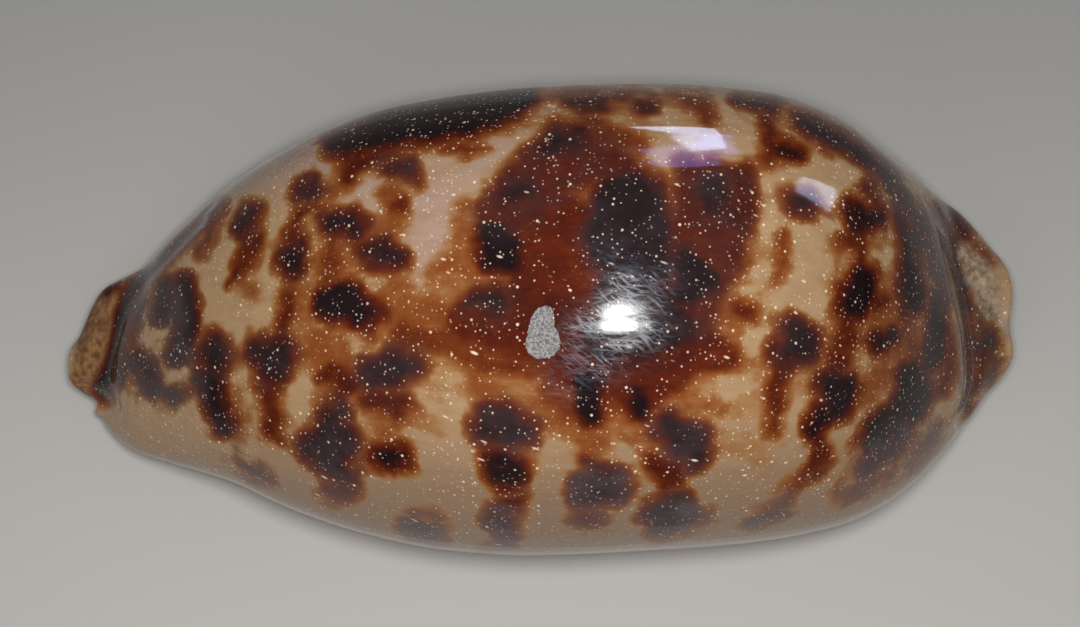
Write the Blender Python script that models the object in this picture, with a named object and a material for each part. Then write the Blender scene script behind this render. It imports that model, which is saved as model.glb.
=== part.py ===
"""A tortoise cowrie shell, hollow, lying on its base as it does on a table.

The shell is one closed wall. Its cross-section is a C: an outer curve over the back, and an inner curve
round the living chamber, joined at the two toothed lips of the aperture underneath. The section is swept
from the anterior tip to the posterior tip, and the wall ends there in the lobes on both sides of each canal.

+X points to the posterior end, +Y to the outer lip, +Z up. The origin lies on the surface that the shell
rests on, under the middle of its box. Named values are in millimetres, or in shares of the driving dimensions.
"""

import math

import bmesh
import bpy
import numpy as np

MM = 0.001

# Driving dimensions of the whole shell.
LENGTH = 115.0
WIDTH = 56.3
HEIGHT = 48.0

# Teeth along the aperture. Stations run from 0 at the anterior tip to 1 at the posterior tip.
TEETH = 26
TOOTHED_FROM = 0.085
TOOTHED_TO = 0.915
TOOTH_DEPTH = 1.35
TOOTH_UNEVENNESS = 0.12
TOOTH_FADE = 0.05

# Stations of the canals beyond the teeth, closer together where the dome ends in a crease.
ANTERIOR_STATIONS = (0.011, 0.021, 0.032, 0.043, 0.052, 0.061, 0.072)
POSTERIOR_STATIONS = (0.923, 0.930, 0.936, 0.945, 0.958, 0.971, 0.982)

# Walls
BACK_WALL = 2.3
SIDE_WALL = 4.0
CANAL_WALL = 2.0
LEAST_LIP_WALL = 0.6

# The rounded edge of each end: share of the way through the wall, and distance out along the shell.
RIM_RINGS = ((0.08, 0.55), (0.26, 0.95))

# The base is hollowed a little beside the lips, and worn flat where it meets the table.
LIP_HOLLOW = 3.1
LIP_HOLLOW_REACH = 5.5

# The columella: the earlier whorls, a roll along the inner lip inside the chamber.
ROLL_HEIGHT = 11.0
ROLL_SHARE = 0.8

# Roundness of each curve, as the power of a superellipse: 2 is an ellipse, more is squarer.
BACK_POWER = 2.15
BASE_POWER = 2.5
CHAMBER_POWER = 2.3

# Points of each stretch of the section, in order round the loop.
LABRAL_BASE_POINTS = 8
BACK_POINTS = 16
COLUMELLAR_BASE_POINTS = 9
COLUMELLAR_FLOOR_POINTS = 8
CHAMBER_ROOF_POINTS = 9
LABRAL_FLOOR_POINTS = 5

# How far each point of a lip is drawn back between two teeth, from the base, round the lip, to the chamber.
LIP_ANGLES = (22.0, 50.0, 80.0)
LIP_GAPS = (0.65, 1.0, 1.0)
WALL_HEIGHTS = (0.35, 0.7, 1.0)
WALL_GAPS = (0.95, 0.7, 0.2)
BASE_GAPS = (0.4, 0.15)


class Profile:
    """A smooth curve through knots of (station, value), which never swings past a knot."""

    def __init__(self, *knots):
        self.at, self.value = np.array(knots, float).T
        rates = np.diff(self.value) / np.diff(self.at)
        before, after = rates[:-1], rates[1:]
        same_way = before * after > 0
        total = np.where(same_way, before + after, 1.0)
        inner = np.where(same_way, 2 * before * after / total, 0.0)
        self.slope = np.concatenate([rates[:1], inner, rates[-1:]])

    def __call__(self, station):
        last = len(self.at) - 2
        i = int(np.clip(np.searchsorted(self.at, station) - 1, 0, last))
        span = self.at[i + 1] - self.at[i]
        t = float(np.clip((station - self.at[i]) / span, 0.0, 1.0))
        start, end = self.value[i], self.value[i + 1]
        leave, arrive = self.slope[i] * span, self.slope[i + 1] * span
        return (
            start * (1 + 2 * t) * (1 - t) ** 2
            + end * t * t * (3 - 2 * t)
            + leave * t * (1 - t) ** 2
            - arrive * t * t * (1 - t)
        )


# The outline from above, as shares of the width: the outer lip's margin, then the columella's.
LABRAL_MARGIN = Profile(
    (0.011, -0.034), (0.018, 0.014), (0.024, 0.042), (0.033, 0.068), (0.043, 0.088), (0.054, 0.104),
    (0.065, 0.116), (0.080, 0.137), (0.096, 0.161), (0.130, 0.221), (0.194, 0.320),
    (0.276, 0.406), (0.358, 0.457), (0.502, 0.489), (0.616, 0.495), (0.709, 0.482), (0.791, 0.435),
    (0.832, 0.384), (0.874, 0.324), (0.901, 0.286), (0.922, 0.269), (0.932, 0.255), (0.945, 0.238),
    (0.958, 0.210), (0.972, 0.174), (0.985, 0.140),
)
COLUMELLAR_MARGIN = Profile(
    (0.011, -0.213), (0.021, -0.233), (0.032, -0.248), (0.052, -0.268), (0.072, -0.289), (0.106, -0.309),
    (0.172, -0.345), (0.234, -0.401), (0.317, -0.455), (0.399, -0.486), (0.477, -0.495), (0.605, -0.484),
    (0.708, -0.469), (0.791, -0.441), (0.832, -0.412), (0.873, -0.364), (0.917, -0.285), (0.948, -0.217),
    (0.968, -0.177), (0.985, -0.142),
)
RIDGE = Profile(
    (0.011, -0.12), (0.045, -0.09), (0.1, -0.06), (0.3, -0.01), (0.6, -0.015), (0.9, 0.0), (1.0, 0.0)
)

# The outline from the side, as shares of the height: the back, the widest line of each side, the base.
CROWN = Profile(
    (0.011, 0.162), (0.032, 0.200), (0.052, 0.238), (0.062, 0.296), (0.085, 0.380), (0.109, 0.452),
    (0.152, 0.562), (0.239, 0.730), (0.326, 0.850), (0.413, 0.935), (0.500, 0.983), (0.570, 1.000),
    (0.640, 0.988), (0.709, 0.940), (0.770, 0.862), (0.822, 0.755), (0.865, 0.632), (0.900, 0.498),
    (0.923, 0.405), (0.930, 0.352), (0.937, 0.302), (0.956, 0.272), (0.987, 0.225),
)
WAIST = Profile(
    (0.0, 0.10), (0.05, 0.15), (0.1, 0.22), (0.2, 0.29), (0.35, 0.33), (0.5, 0.35), (0.7, 0.34),
    (0.85, 0.28), (0.92, 0.20), (0.96, 0.16), (1.0, 0.13),
)
BASE = Profile(
    (0.0, 0.050), (0.04, 0.030), (0.09, 0.006), (0.16, -0.020), (0.26, -0.044), (0.5, -0.054),
    (0.74, -0.044), (0.84, -0.020), (0.91, 0.008), (0.96, 0.034), (1.0, 0.058),
)

# The aperture: its middle line as a share of the width, and half its clear width in millimetres.
APERTURE = Profile(
    (0.011, -0.158), (0.040, -0.150), (0.08, -0.137), (0.152, -0.112), (0.326, -0.040), (0.5, 0.028),
    (0.674, 0.072), (0.804, 0.082), (0.891, 0.066), (0.943, 0.036), (0.99, 0.006),
)
APERTURE_HALF = Profile(
    (0.011, 1.3), (0.045, 1.8), (0.08, 2.5), (0.2, 3.2), (0.4, 3.0), (0.6, 2.7), (0.9, 2.6), (0.987, 2.0)
)
LIP_RADIUS = Profile((0.011, 1.0), (0.05, 1.4), (0.12, 2.2), (0.88, 2.2), (0.95, 1.5), (0.982, 1.2))
LIP_HEIGHT = Profile((0.011, 2.2), (0.08, 3.6), (0.2, 5.4), (0.8, 5.4), (0.92, 3.6), (0.987, 2.4))

# How far the narrow canals of both ends have opened into the living chamber.
CHAMBER = Profile(
    (0.011, 0.0), (0.05, 0.05), (0.10, 0.45), (0.2, 1.0), (0.8, 1.0), (0.9, 0.45), (0.95, 0.05), (0.987, 0.0)
)

# How far each end's rim and the crease behind it lie along the shell, by their place across it.
ANTERIOR_RIM = Profile(
    (-12.5, 1.1), (-10.4, 0.9), (-8.9, -0.2), (-7.6, -1.3), (-6.4, -1.5), (-5.0, -0.8), (-3.6, -0.2),
    (-1.5, 0.5),
)
ANTERIOR_CREASE = Profile((-13.0, -0.6), (-8.5, -0.8), (-1.3, 0.4), (5.5, 0.9), (9.0, 0.9))
POSTERIOR_RIM = Profile(
    (-8.5, -0.9), (-7.0, -0.2), (-4.8, 0.6), (-2.8, 0.3), (-0.9, -0.4), (1.2, -0.1), (3.6, 0.2), (6.0, 0.0),
    (8.5, -0.8),
)
POSTERIOR_CREASE = Profile(
    (-13.2, 0.0), (-9.4, 0.9), (-6.8, 1.3), (-0.5, 0.8), (3.5, -0.2), (6.9, -1.0), (10.0, -1.4), (13.1, -1.3)
)
RIM_REACH = 0.05
CREASES_AT = (0.058, 0.930)
CREASE_REACH = 0.045

# The back is cut away over the mouth of the anterior canal.
NOTCH_DEPTH = 2.0
NOTCH_HALF = 4.2
NOTCH_REACH = 0.08


def smooth_step(t):
    """0 below 0, 1 above 1, and an even rise between them."""
    t = min(1.0, max(0.0, t))
    return t * t * (3 - 2 * t)


def bump(t):
    """1 at 0, and an even fall to 0 on both sides, at 1 and -1."""
    return (1 - min(1.0, t * t)) ** 2


def mix(a, b, share):
    """The value this share of the way from a to b."""
    return a + (b - a) * share


def quarter(power, count, first=0.0, last=90.0):
    """(along, up) shares of points on a superellipse's quarter, from its side to its top."""
    shares = []
    for k in range(count):
        angle = math.radians(mix(first, last, k / (count - 1)))
        shares.append((math.cos(angle) ** (2 / power), max(0.0, math.sin(angle)) ** (2 / power)))
    return shares


class Section:
    """One cross-section of the wall, as a closed loop of (y, z) points in millimetres."""

    def __init__(self, station, tooth):
        self.labral = LABRAL_MARGIN(station) * WIDTH
        self.columellar = COLUMELLAR_MARGIN(station) * WIDTH
        self.ridge = RIDGE(station) * WIDTH
        self.crown = CROWN(station) * HEIGHT
        self.waist = WAIST(station) * HEIGHT
        self.base = BASE(station) * HEIGHT
        self.middle = APERTURE(station) * WIDTH
        self.half = APERTURE_HALF(station)
        self.lip_rounding = LIP_RADIUS(station)
        self.chamber = CHAMBER(station)
        self.gap = TOOTH_DEPTH * (1 - tooth)
        lip_tops = [self.foot_height(side) + self.lip_radius(side) + LEAST_LIP_WALL for side in (1, -1)]
        self.floor = max(self.base + LIP_HEIGHT(station), *lip_tops)

    def lip_radius(self, side):
        """The roundness of the labral lip (side 1) or the columellar one (side -1)."""
        margin = self.labral if side > 0 else self.columellar
        return min(self.lip_rounding, 0.5 * (abs(margin - self.middle) - self.half))

    def foot_height(self, side):
        """The height of the base where a lip begins, on a tooth."""
        return self.base_points(side, LABRAL_BASE_POINTS)[0][1] - self.gap * BASE_GAPS[0]

    def hollow(self, across):
        """How far the base is hollowed at this distance from a lip's foot."""
        return LIP_HOLLOW * self.chamber * (1 - smooth_step(across / LIP_HOLLOW_REACH))

    def base_points(self, side, count):
        """The underside from the lip's foot out to the margin."""
        margin = abs((self.labral if side > 0 else self.columellar) - self.middle)
        foot = self.half + self.lip_radius(side)
        first = math.degrees(math.asin((foot / margin) ** (BASE_POWER / 2)))
        points = []
        for k in range(count):
            angle = math.radians(mix(first, 90.0, k / count))
            across = margin * math.sin(angle) ** (2 / BASE_POWER)
            drop = (self.waist - self.base) * math.cos(angle) ** (2 / BASE_POWER)
            raised = self.hollow(across - foot)
            if k < len(BASE_GAPS):
                raised += self.gap * BASE_GAPS[k]
            points.append((self.middle + side * across, self.waist - drop + raised))
        return points

    def back_points(self):
        """The back, from the labral margin over the crown to the columellar margin."""
        half_count = BACK_POINTS // 2 + 1
        rise = self.crown - self.waist
        right = [
            (mix(self.ridge, self.labral, along), self.waist + rise * up)
            for along, up in quarter(BACK_POWER, half_count)
        ]
        left = [
            (mix(self.ridge, self.columellar, along), self.waist + rise * up)
            for along, up in quarter(BACK_POWER, half_count)
        ]
        return right + left[-2::-1]

    def lip_points(self, side):
        """One lip, from its foot on the base, round its edge and up to the chamber's floor."""
        radius = self.lip_radius(side)
        foot = self.half + radius
        foot_height = self.foot_height(side)
        points = []
        for angle, share in zip(LIP_ANGLES, LIP_GAPS):
            turn = math.radians(angle)
            reach = radius - self.gap * share
            across = foot - reach * math.sin(turn)
            points.append((self.middle + side * across, foot_height + radius - reach * math.cos(turn)))
        wall_foot = foot_height + radius
        for height, share in zip(WALL_HEIGHTS, WALL_GAPS):
            across = self.half + self.gap * share + 0.4 * height * self.chamber
            points.append((self.middle + side * across, mix(wall_foot, self.floor, height)))
        return points

    def chamber_points(self):
        """The living chamber, from the columellar lip's top over the roof to the labral lip's top."""
        shoulder = self.half + 0.4
        floor = self.floor
        roof = self.crown - mix(CANAL_WALL, BACK_WALL, self.chamber)
        labral = mix(self.middle + shoulder, self.labral - SIDE_WALL, self.chamber)
        columellar = mix(self.middle - shoulder, self.columellar + SIDE_WALL, self.chamber)
        ridge = mix(self.middle, self.ridge, self.chamber)
        waist = mix(mix(floor, roof, 0.5), max(self.waist, floor + 3.0), self.chamber)
        points = []
        for k in range(1, COLUMELLAR_FLOOR_POINTS + 1):
            angle = math.radians(90.0 * k / (COLUMELLAR_FLOOR_POINTS + 1))
            share = math.sin(angle) ** (2 / CHAMBER_POWER)
            y = mix(self.middle - shoulder, columellar, share)
            drop = (waist - floor) * math.cos(angle) ** (2 / CHAMBER_POWER)
            points.append((y, waist - drop + self.roll_height(share)))
        half_count = CHAMBER_ROOF_POINTS // 2 + 1
        arch = quarter(CHAMBER_POWER, half_count)
        left = [(mix(ridge, columellar, along), mix(waist, roof, up)) for along, up in arch]
        right = [(mix(ridge, labral, along), mix(waist, roof, up)) for along, up in arch]
        points += left + right[-2::-1]
        for k in range(LABRAL_FLOOR_POINTS, 0, -1):
            angle = math.radians(90.0 * k / (LABRAL_FLOOR_POINTS + 1))
            share = math.sin(angle) ** (2 / CHAMBER_POWER)
            drop = (waist - floor) * math.cos(angle) ** (2 / CHAMBER_POWER)
            points.append((mix(self.middle + shoulder, labral, share), waist - drop))
        return points

    def roll_height(self, share):
        """What the columella adds to the chamber's floor this share of the way out from the inner lip."""
        room = (self.crown - self.base) / HEIGHT
        along = min(1.0, share / ROLL_SHARE)
        return ROLL_HEIGHT * self.chamber * room * math.sin(math.pi * along**0.7)

    def outer_points(self):
        """The outside of the wall, from the labral lip's foot to the columellar lip's foot."""
        labral = self.base_points(1, LABRAL_BASE_POINTS)
        columellar = self.base_points(-1, COLUMELLAR_BASE_POINTS)
        return labral + self.back_points() + columellar[::-1]

    def loop(self):
        """All the points, round the outside, up one lip, round the chamber and down the other lip."""
        return (
            self.outer_points()
            + self.lip_points(-1)
            + self.chamber_points()
            + self.lip_points(1)[::-1]
        )


def stations():
    """(station, tooth) of every section. tooth is 1 on a tooth, and less in the gap beside it."""
    listed = [(station, 1.0) for station in ANTERIOR_STATIONS]
    for k in range(2 * TEETH + 1):
        station = mix(TOOTHED_FROM, TOOTHED_TO, k / (2 * TEETH))
        fade = min(station - TOOTHED_FROM, TOOTHED_TO - station) / TOOTH_FADE
        gap = (k % 2) * smooth_step(0.35 + fade) * (1 + TOOTH_UNEVENNESS * math.sin(2.3 * k))
        listed.append((station, 1.0 - gap))
    return listed + [(station, 1.0) for station in POSTERIOR_STATIONS]


def end_shift(section, station, across, height):
    """How far along the shell a point near either end moves, for the lobes, creases and notch of that end."""
    anterior = 1 - smooth_step((station - ANTERIOR_STATIONS[0]) / RIM_REACH)
    posterior = 1 - smooth_step((POSTERIOR_STATIONS[-1] - station) / RIM_REACH)
    shift = anterior * ANTERIOR_RIM(across) + posterior * POSTERIOR_RIM(across)
    for at, crease in zip(CREASES_AT, (ANTERIOR_CREASE, POSTERIOR_CREASE)):
        shift += bump((station - at) / CREASE_REACH) * crease(across)
    near_notch = 1 - smooth_step((station - ANTERIOR_STATIONS[0]) / NOTCH_REACH)
    up = (height - section.base) / (section.crown - section.base)
    return shift + NOTCH_DEPTH * near_notch * up * bump((across - section.middle) / NOTCH_HALF)


def rim(loop, outwards):
    """The last rings of an end, where the wall is drawn in to a rounded edge."""
    rings = []
    for share, out in RIM_RINGS:
        ring = loop + (loop[::-1] - loop) * share
        ring[:, 0] += out * outwards
        rings.append(ring)
    return rings


def wall_rings():
    """Every ring of points of the wall, from the anterior rim to the posterior rim."""
    rings = []
    for station, tooth in stations():
        section = Section(station, tooth)
        ring = []
        for y, z in section.loop():
            x = (station - 0.5) * LENGTH + end_shift(section, station, y, z)
            ring.append((x, y, z))
        rings.append(np.array(ring))
    points = np.array(rim(rings[0], -1.0)[::-1] + rings + rim(rings[-1], 1.0))
    points[:, :, 2] = np.maximum(points[:, :, 2], 0.0)
    middle = (points.min(axis=(0, 1)) + points.max(axis=(0, 1))) / 2
    points[:, :, :2] -= middle[:2]
    return points * MM


def shell_mesh():
    """The wall as one closed mesh of quads."""
    rings = wall_rings()
    count = rings.shape[1]
    mesh = bmesh.new()
    verts = [[mesh.verts.new(point) for point in ring] for ring in rings]
    for near, far in zip(verts, verts[1:]):
        for j in range(count):
            k = (j + 1) % count
            mesh.faces.new((near[j], near[k], far[k], far[j]))
    for ring in (verts[0], verts[-1]):
        for j in range(count // 2 - 1):
            mesh.faces.new((ring[j], ring[j + 1], ring[count - 2 - j], ring[count - 1 - j]))
    bmesh.ops.recalc_face_normals(mesh, faces=mesh.faces)
    made = bpy.data.meshes.new("shell")
    mesh.to_mesh(made)
    mesh.free()
    made.shade_smooth()
    return made


def glaze():
    """The shell's polished surface, as its average colour."""
    material = bpy.data.materials.new("glazed_shell")
    material.use_nodes = True
    shader = material.node_tree.nodes["Principled BSDF"]
    shader.inputs["Base Color"].default_value = (0.27, 0.13, 0.06, 1.0)
    shader.inputs["Roughness"].default_value = 0.15
    shader.inputs["Metallic"].default_value = 0.0
    return material


def clear_scene():
    """Removes whatever the file opened with."""
    for obj in list(bpy.data.objects):
        bpy.data.objects.remove(obj)


def main():
    """Builds the shell as one object."""
    clear_scene()
    shell = bpy.data.objects.new("shell", shell_mesh())
    shell.data.materials.append(glaze())
    bpy.context.scene.collection.objects.link(shell)


main()
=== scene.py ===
"""The dressed tortoise cowrie: its glazed, blotched and speckled surface, and the studio it is shown in.

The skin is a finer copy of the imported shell. Its blotches are soft brush strokes, each placed by the pixels
of the 1080 x 627 photograph that it covers. Each point of the skin looks up how far inside the strokes the
camera sees it. The answers are kept as attributes, and the glaze's shader adds grain, streaks and specks.
"""

import logging
import math
from dataclasses import dataclass
from enum import Enum

import bpy
import numpy as np
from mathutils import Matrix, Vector, noise
from mathutils.bvhtree import BVHTree

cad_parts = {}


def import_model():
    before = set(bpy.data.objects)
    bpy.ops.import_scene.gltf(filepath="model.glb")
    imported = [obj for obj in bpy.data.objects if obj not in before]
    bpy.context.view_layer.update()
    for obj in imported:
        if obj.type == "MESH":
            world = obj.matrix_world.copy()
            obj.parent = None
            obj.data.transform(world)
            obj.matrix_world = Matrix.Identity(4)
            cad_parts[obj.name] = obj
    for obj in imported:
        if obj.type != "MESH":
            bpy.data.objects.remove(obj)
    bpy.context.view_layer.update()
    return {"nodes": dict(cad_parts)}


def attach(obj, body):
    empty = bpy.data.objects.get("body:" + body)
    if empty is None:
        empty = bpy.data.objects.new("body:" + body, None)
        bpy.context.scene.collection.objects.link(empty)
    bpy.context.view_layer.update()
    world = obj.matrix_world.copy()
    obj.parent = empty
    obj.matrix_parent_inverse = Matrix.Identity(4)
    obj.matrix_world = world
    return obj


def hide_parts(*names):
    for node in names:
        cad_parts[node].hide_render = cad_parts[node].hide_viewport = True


log = logging.getLogger("cowrie")

MM = 0.001
NOISE_SEED = 7

Colour = tuple[float, float, float]
Dab = tuple[float, float, float]


def linear(red: float, green: float, blue: float) -> Colour:
    """Turns a colour as a screen shows it, 0 to 255, into the light it stands for.

    Args:
        red: The red value.
        green: The green value.
        blue: The blue value.

    Returns:
        The three linear values, 0 to 1.
    """

    def one(value: float) -> float:
        """The linear value of one channel."""
        share = value / 255
        return share / 12.92 if share <= 0.04045 else ((share + 0.055) / 1.055) ** 2.4

    return one(red), one(green), one(blue)


def smooth_step(low: float, high: float, values: np.ndarray) -> np.ndarray:
    """Rises evenly from 0 at low to 1 at high.

    Args:
        low: Where the rise starts.
        high: Where it ends. It may be less than low, for a fall.
        values: The values to look up.

    Returns:
        The share of the rise at each value.
    """
    t = np.clip((values - low) / (high - low), 0.0, 1.0)
    return t * t * (3 - 2 * t)


@dataclass(frozen=True)
class PhotoCamera:
    """The camera of the photograph: straight above the shell, a hand's length away.

    Attributes:
        width: The photograph's width in pixels.
        height: Its height in pixels.
        focal: The distance from the lens to the picture, in pixels.
        place: Where the lens stands, in metres.
        sensor: The sensor's width in millimetres.
        scale: What a pixel covers on the upper half of the shell, in millimetres.
        clip: The nearest and the farthest that it sees, in metres.
    """

    width: int = 1080
    height: int = 627
    focal: float = 2389.0
    place: tuple[float, float, float] = (0.06 * MM, 0.73 * MM, 300 * MM)
    sensor: float = 36.0
    scale: float = 0.11
    clip: tuple[float, float] = (0.01, 20.0)

    def build(self) -> None:
        """Makes Blender's camera and hands it to the scene."""
        bpy.ops.object.camera_add(location=self.place, rotation=(0.0, 0.0, 0.0))
        made = bpy.context.object
        made.name = "photo_camera"
        made.data.sensor_fit = "HORIZONTAL"
        made.data.sensor_width = self.sensor
        made.data.lens = self.focal / self.width * self.sensor
        made.data.clip_start, made.data.clip_end = self.clip
        bpy.context.scene.camera = made

    def ray(self, x: float, y: float) -> Vector:
        """The direction in which a pixel looks.

        Args:
            x: The pixel's column.
            y: The pixel's row, counted downwards.

        Returns:
            The unit direction.
        """
        across = (x - self.width / 2) / self.focal
        up = (self.height / 2 - y) / self.focal
        return Vector((across, up, -1.0)).normalized()

    def pixels(self, points: np.ndarray) -> np.ndarray:
        """Where points of the shell show in the photograph.

        Args:
            points: An array of points, one a row, in metres.

        Returns:
            An array of (column, row), one a row.
        """
        away = self.place[2] - points[:, 2]
        column = self.width / 2 + (points[:, 0] - self.place[0]) * self.focal / away
        row = self.height / 2 - (points[:, 1] - self.place[1]) * self.focal / away
        return np.stack([column, row], axis=1)


class Tone(Enum):
    """How much pigment a brush stroke lays down."""

    BLACK = 0.98
    DARK = 0.88
    RUST = 0.58
    BROWN = 0.46
    AMBER = 0.3
    STAIN = 0.16


@dataclass(frozen=True)
class Mark:
    """One blotch or streak, as a soft brush stroke. A few strokes are painted shade and painted reflection
    instead.

    Attributes:
        name: Where it is.
        tone: Its pigment.
        path: The stroke's dabs, each the photograph's column and row, and the dab's radius in pixels there.
        haze_and_reflection: How milky and violet grey it looks, 0 to 1: the glaze's own haze on most marks,
            painted grey reflection on a few.
    """

    name: str
    tone: Tone
    path: tuple[Dab, ...]
    haze_and_reflection: float = 0.0


# The great red-brown field of the crown, and the amber round it.
FIELD_MARKS: tuple[Mark, ...] = (
    Mark(
        "field, upper left",
        Tone.RUST,
        ((500, 212, 26), (540, 176, 30), (588, 156, 28), (622, 168, 18)),
        0.3,
    ),
    Mark("field, middle", Tone.RUST, ((500, 250, 28), (556, 240, 50), (560, 300, 52), (640, 300, 62))),
    Mark("field, lower left", Tone.RUST, ((470, 318, 24), (520, 322, 34), (600, 344, 40), (680, 340, 34))),
    Mark("field, right", Tone.RUST, ((690, 172, 16), (712, 200, 42), (706, 250, 40), (690, 300, 36)), 0.3),
    Mark("field, right edge", Tone.RUST, ((744, 176, 11), (748, 198, 12), (738, 224, 14))),
    Mark("field, upper edge", Tone.BROWN, ((556, 134, 14), (600, 128, 12), (640, 146, 10))),
    Mark(
        "amber left of the field",
        Tone.AMBER,
        ((470, 205, 12), (466, 262, 22), (440, 290, 24), (420, 322, 22)),
    ),
    Mark(
        "amber right of the field",
        Tone.AMBER,
        ((734, 262, 16), (724, 300, 20), (722, 340, 24), (744, 366, 14)),
    ),
    Mark("smear, left", Tone.BROWN, ((404, 336, 14), (450, 342, 17), (500, 356, 20), (548, 366, 20))),
    Mark(
        "smear, right",
        Tone.RUST,
        ((560, 372, 18), (604, 378, 22), (650, 378, 24), (700, 352, 26), (728, 356, 16)),
    ),
    Mark(
        "amber under the smear",
        Tone.AMBER,
        ((476, 384, 18), (520, 392, 20), (562, 416, 24), (592, 436, 20)),
    ),
    Mark(
        "brown under the smear",
        Tone.BROWN,
        ((548, 396, 12), (570, 410, 14), (604, 404, 16), (636, 392, 18)),
    ),
    Mark("amber, lower right", Tone.AMBER, ((632, 430, 18), (640, 452, 12), (664, 400, 16), (716, 404, 12))),
)

# The dark blotches of the crown. The great oval is a dark blotch under a painted dark reflection and painted
# grey reflection.
CROWN_MARKS: tuple[Mark, ...] = (
    # The great oval: a dark blotch with a painted dark reflection over it; its haze is painted grey
    # reflection.
    Mark("great oval under painted dark reflection", Tone.BLACK, ((628, 204, 36), (630, 238, 44), (640, 262, 36)), 0.45),
    Mark("below the oval", Tone.DARK, ((622, 296, 30), (648, 316, 32), (606, 338, 24), (676, 330, 20))),
    Mark("left of the oval, upper", Tone.DARK, ((500, 198, 9), (518, 193, 12), (532, 190, 8)), 0.5),
    Mark(
        "left of the oval, lower",
        Tone.BLACK,
        ((492, 234, 13), (503, 250, 17), (512, 263, 11), (496, 264, 10)),
    ),
    Mark("above the field", Tone.DARK, ((545, 150, 10), (560, 142, 12), (582, 134, 8)), 0.45),
    Mark("right of the oval, upper", Tone.DARK, ((712, 189, 17), (713, 206, 17)), 0.6),
    Mark("right of the oval, lower", Tone.BLACK, ((688, 262, 15), (702, 280, 19), (690, 292, 14))),
    Mark("left edge of the field", Tone.DARK, ((478, 300, 12), (497, 304, 14)), 0.4),
    Mark("under the highlight", Tone.BLACK, ((587, 378, 12), (590, 396, 14), (588, 412, 12))),
    Mark("dot right of it", Tone.BLACK, ((641, 400, 10), (640, 408, 9))),
    Mark("top dot, left", Tone.DARK, ((570, 103, 5), (586, 104, 8), (600, 101, 6)), 0.2),
    Mark("top dot, right", Tone.DARK, ((641, 107, 5), (650, 107, 5)), 0.2),
    Mark("top stain, left", Tone.BROWN, ((552, 97, 4), (574, 94, 4))),
    Mark("top stain, middle", Tone.RUST, ((616, 98, 6), (628, 97, 5))),
    Mark("top stain, right", Tone.BROWN, ((672, 98, 5), (700, 103, 8), (706, 116, 9))),
    Mark("top edge, far right", Tone.DARK, ((740, 99, 5), (758, 103, 6), (776, 107, 4)), 0.2),
    Mark("tan over the field", Tone.STAIN, ((560, 116, 12), (610, 116, 12), (668, 130, 14), (720, 128, 10))),
)

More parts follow.
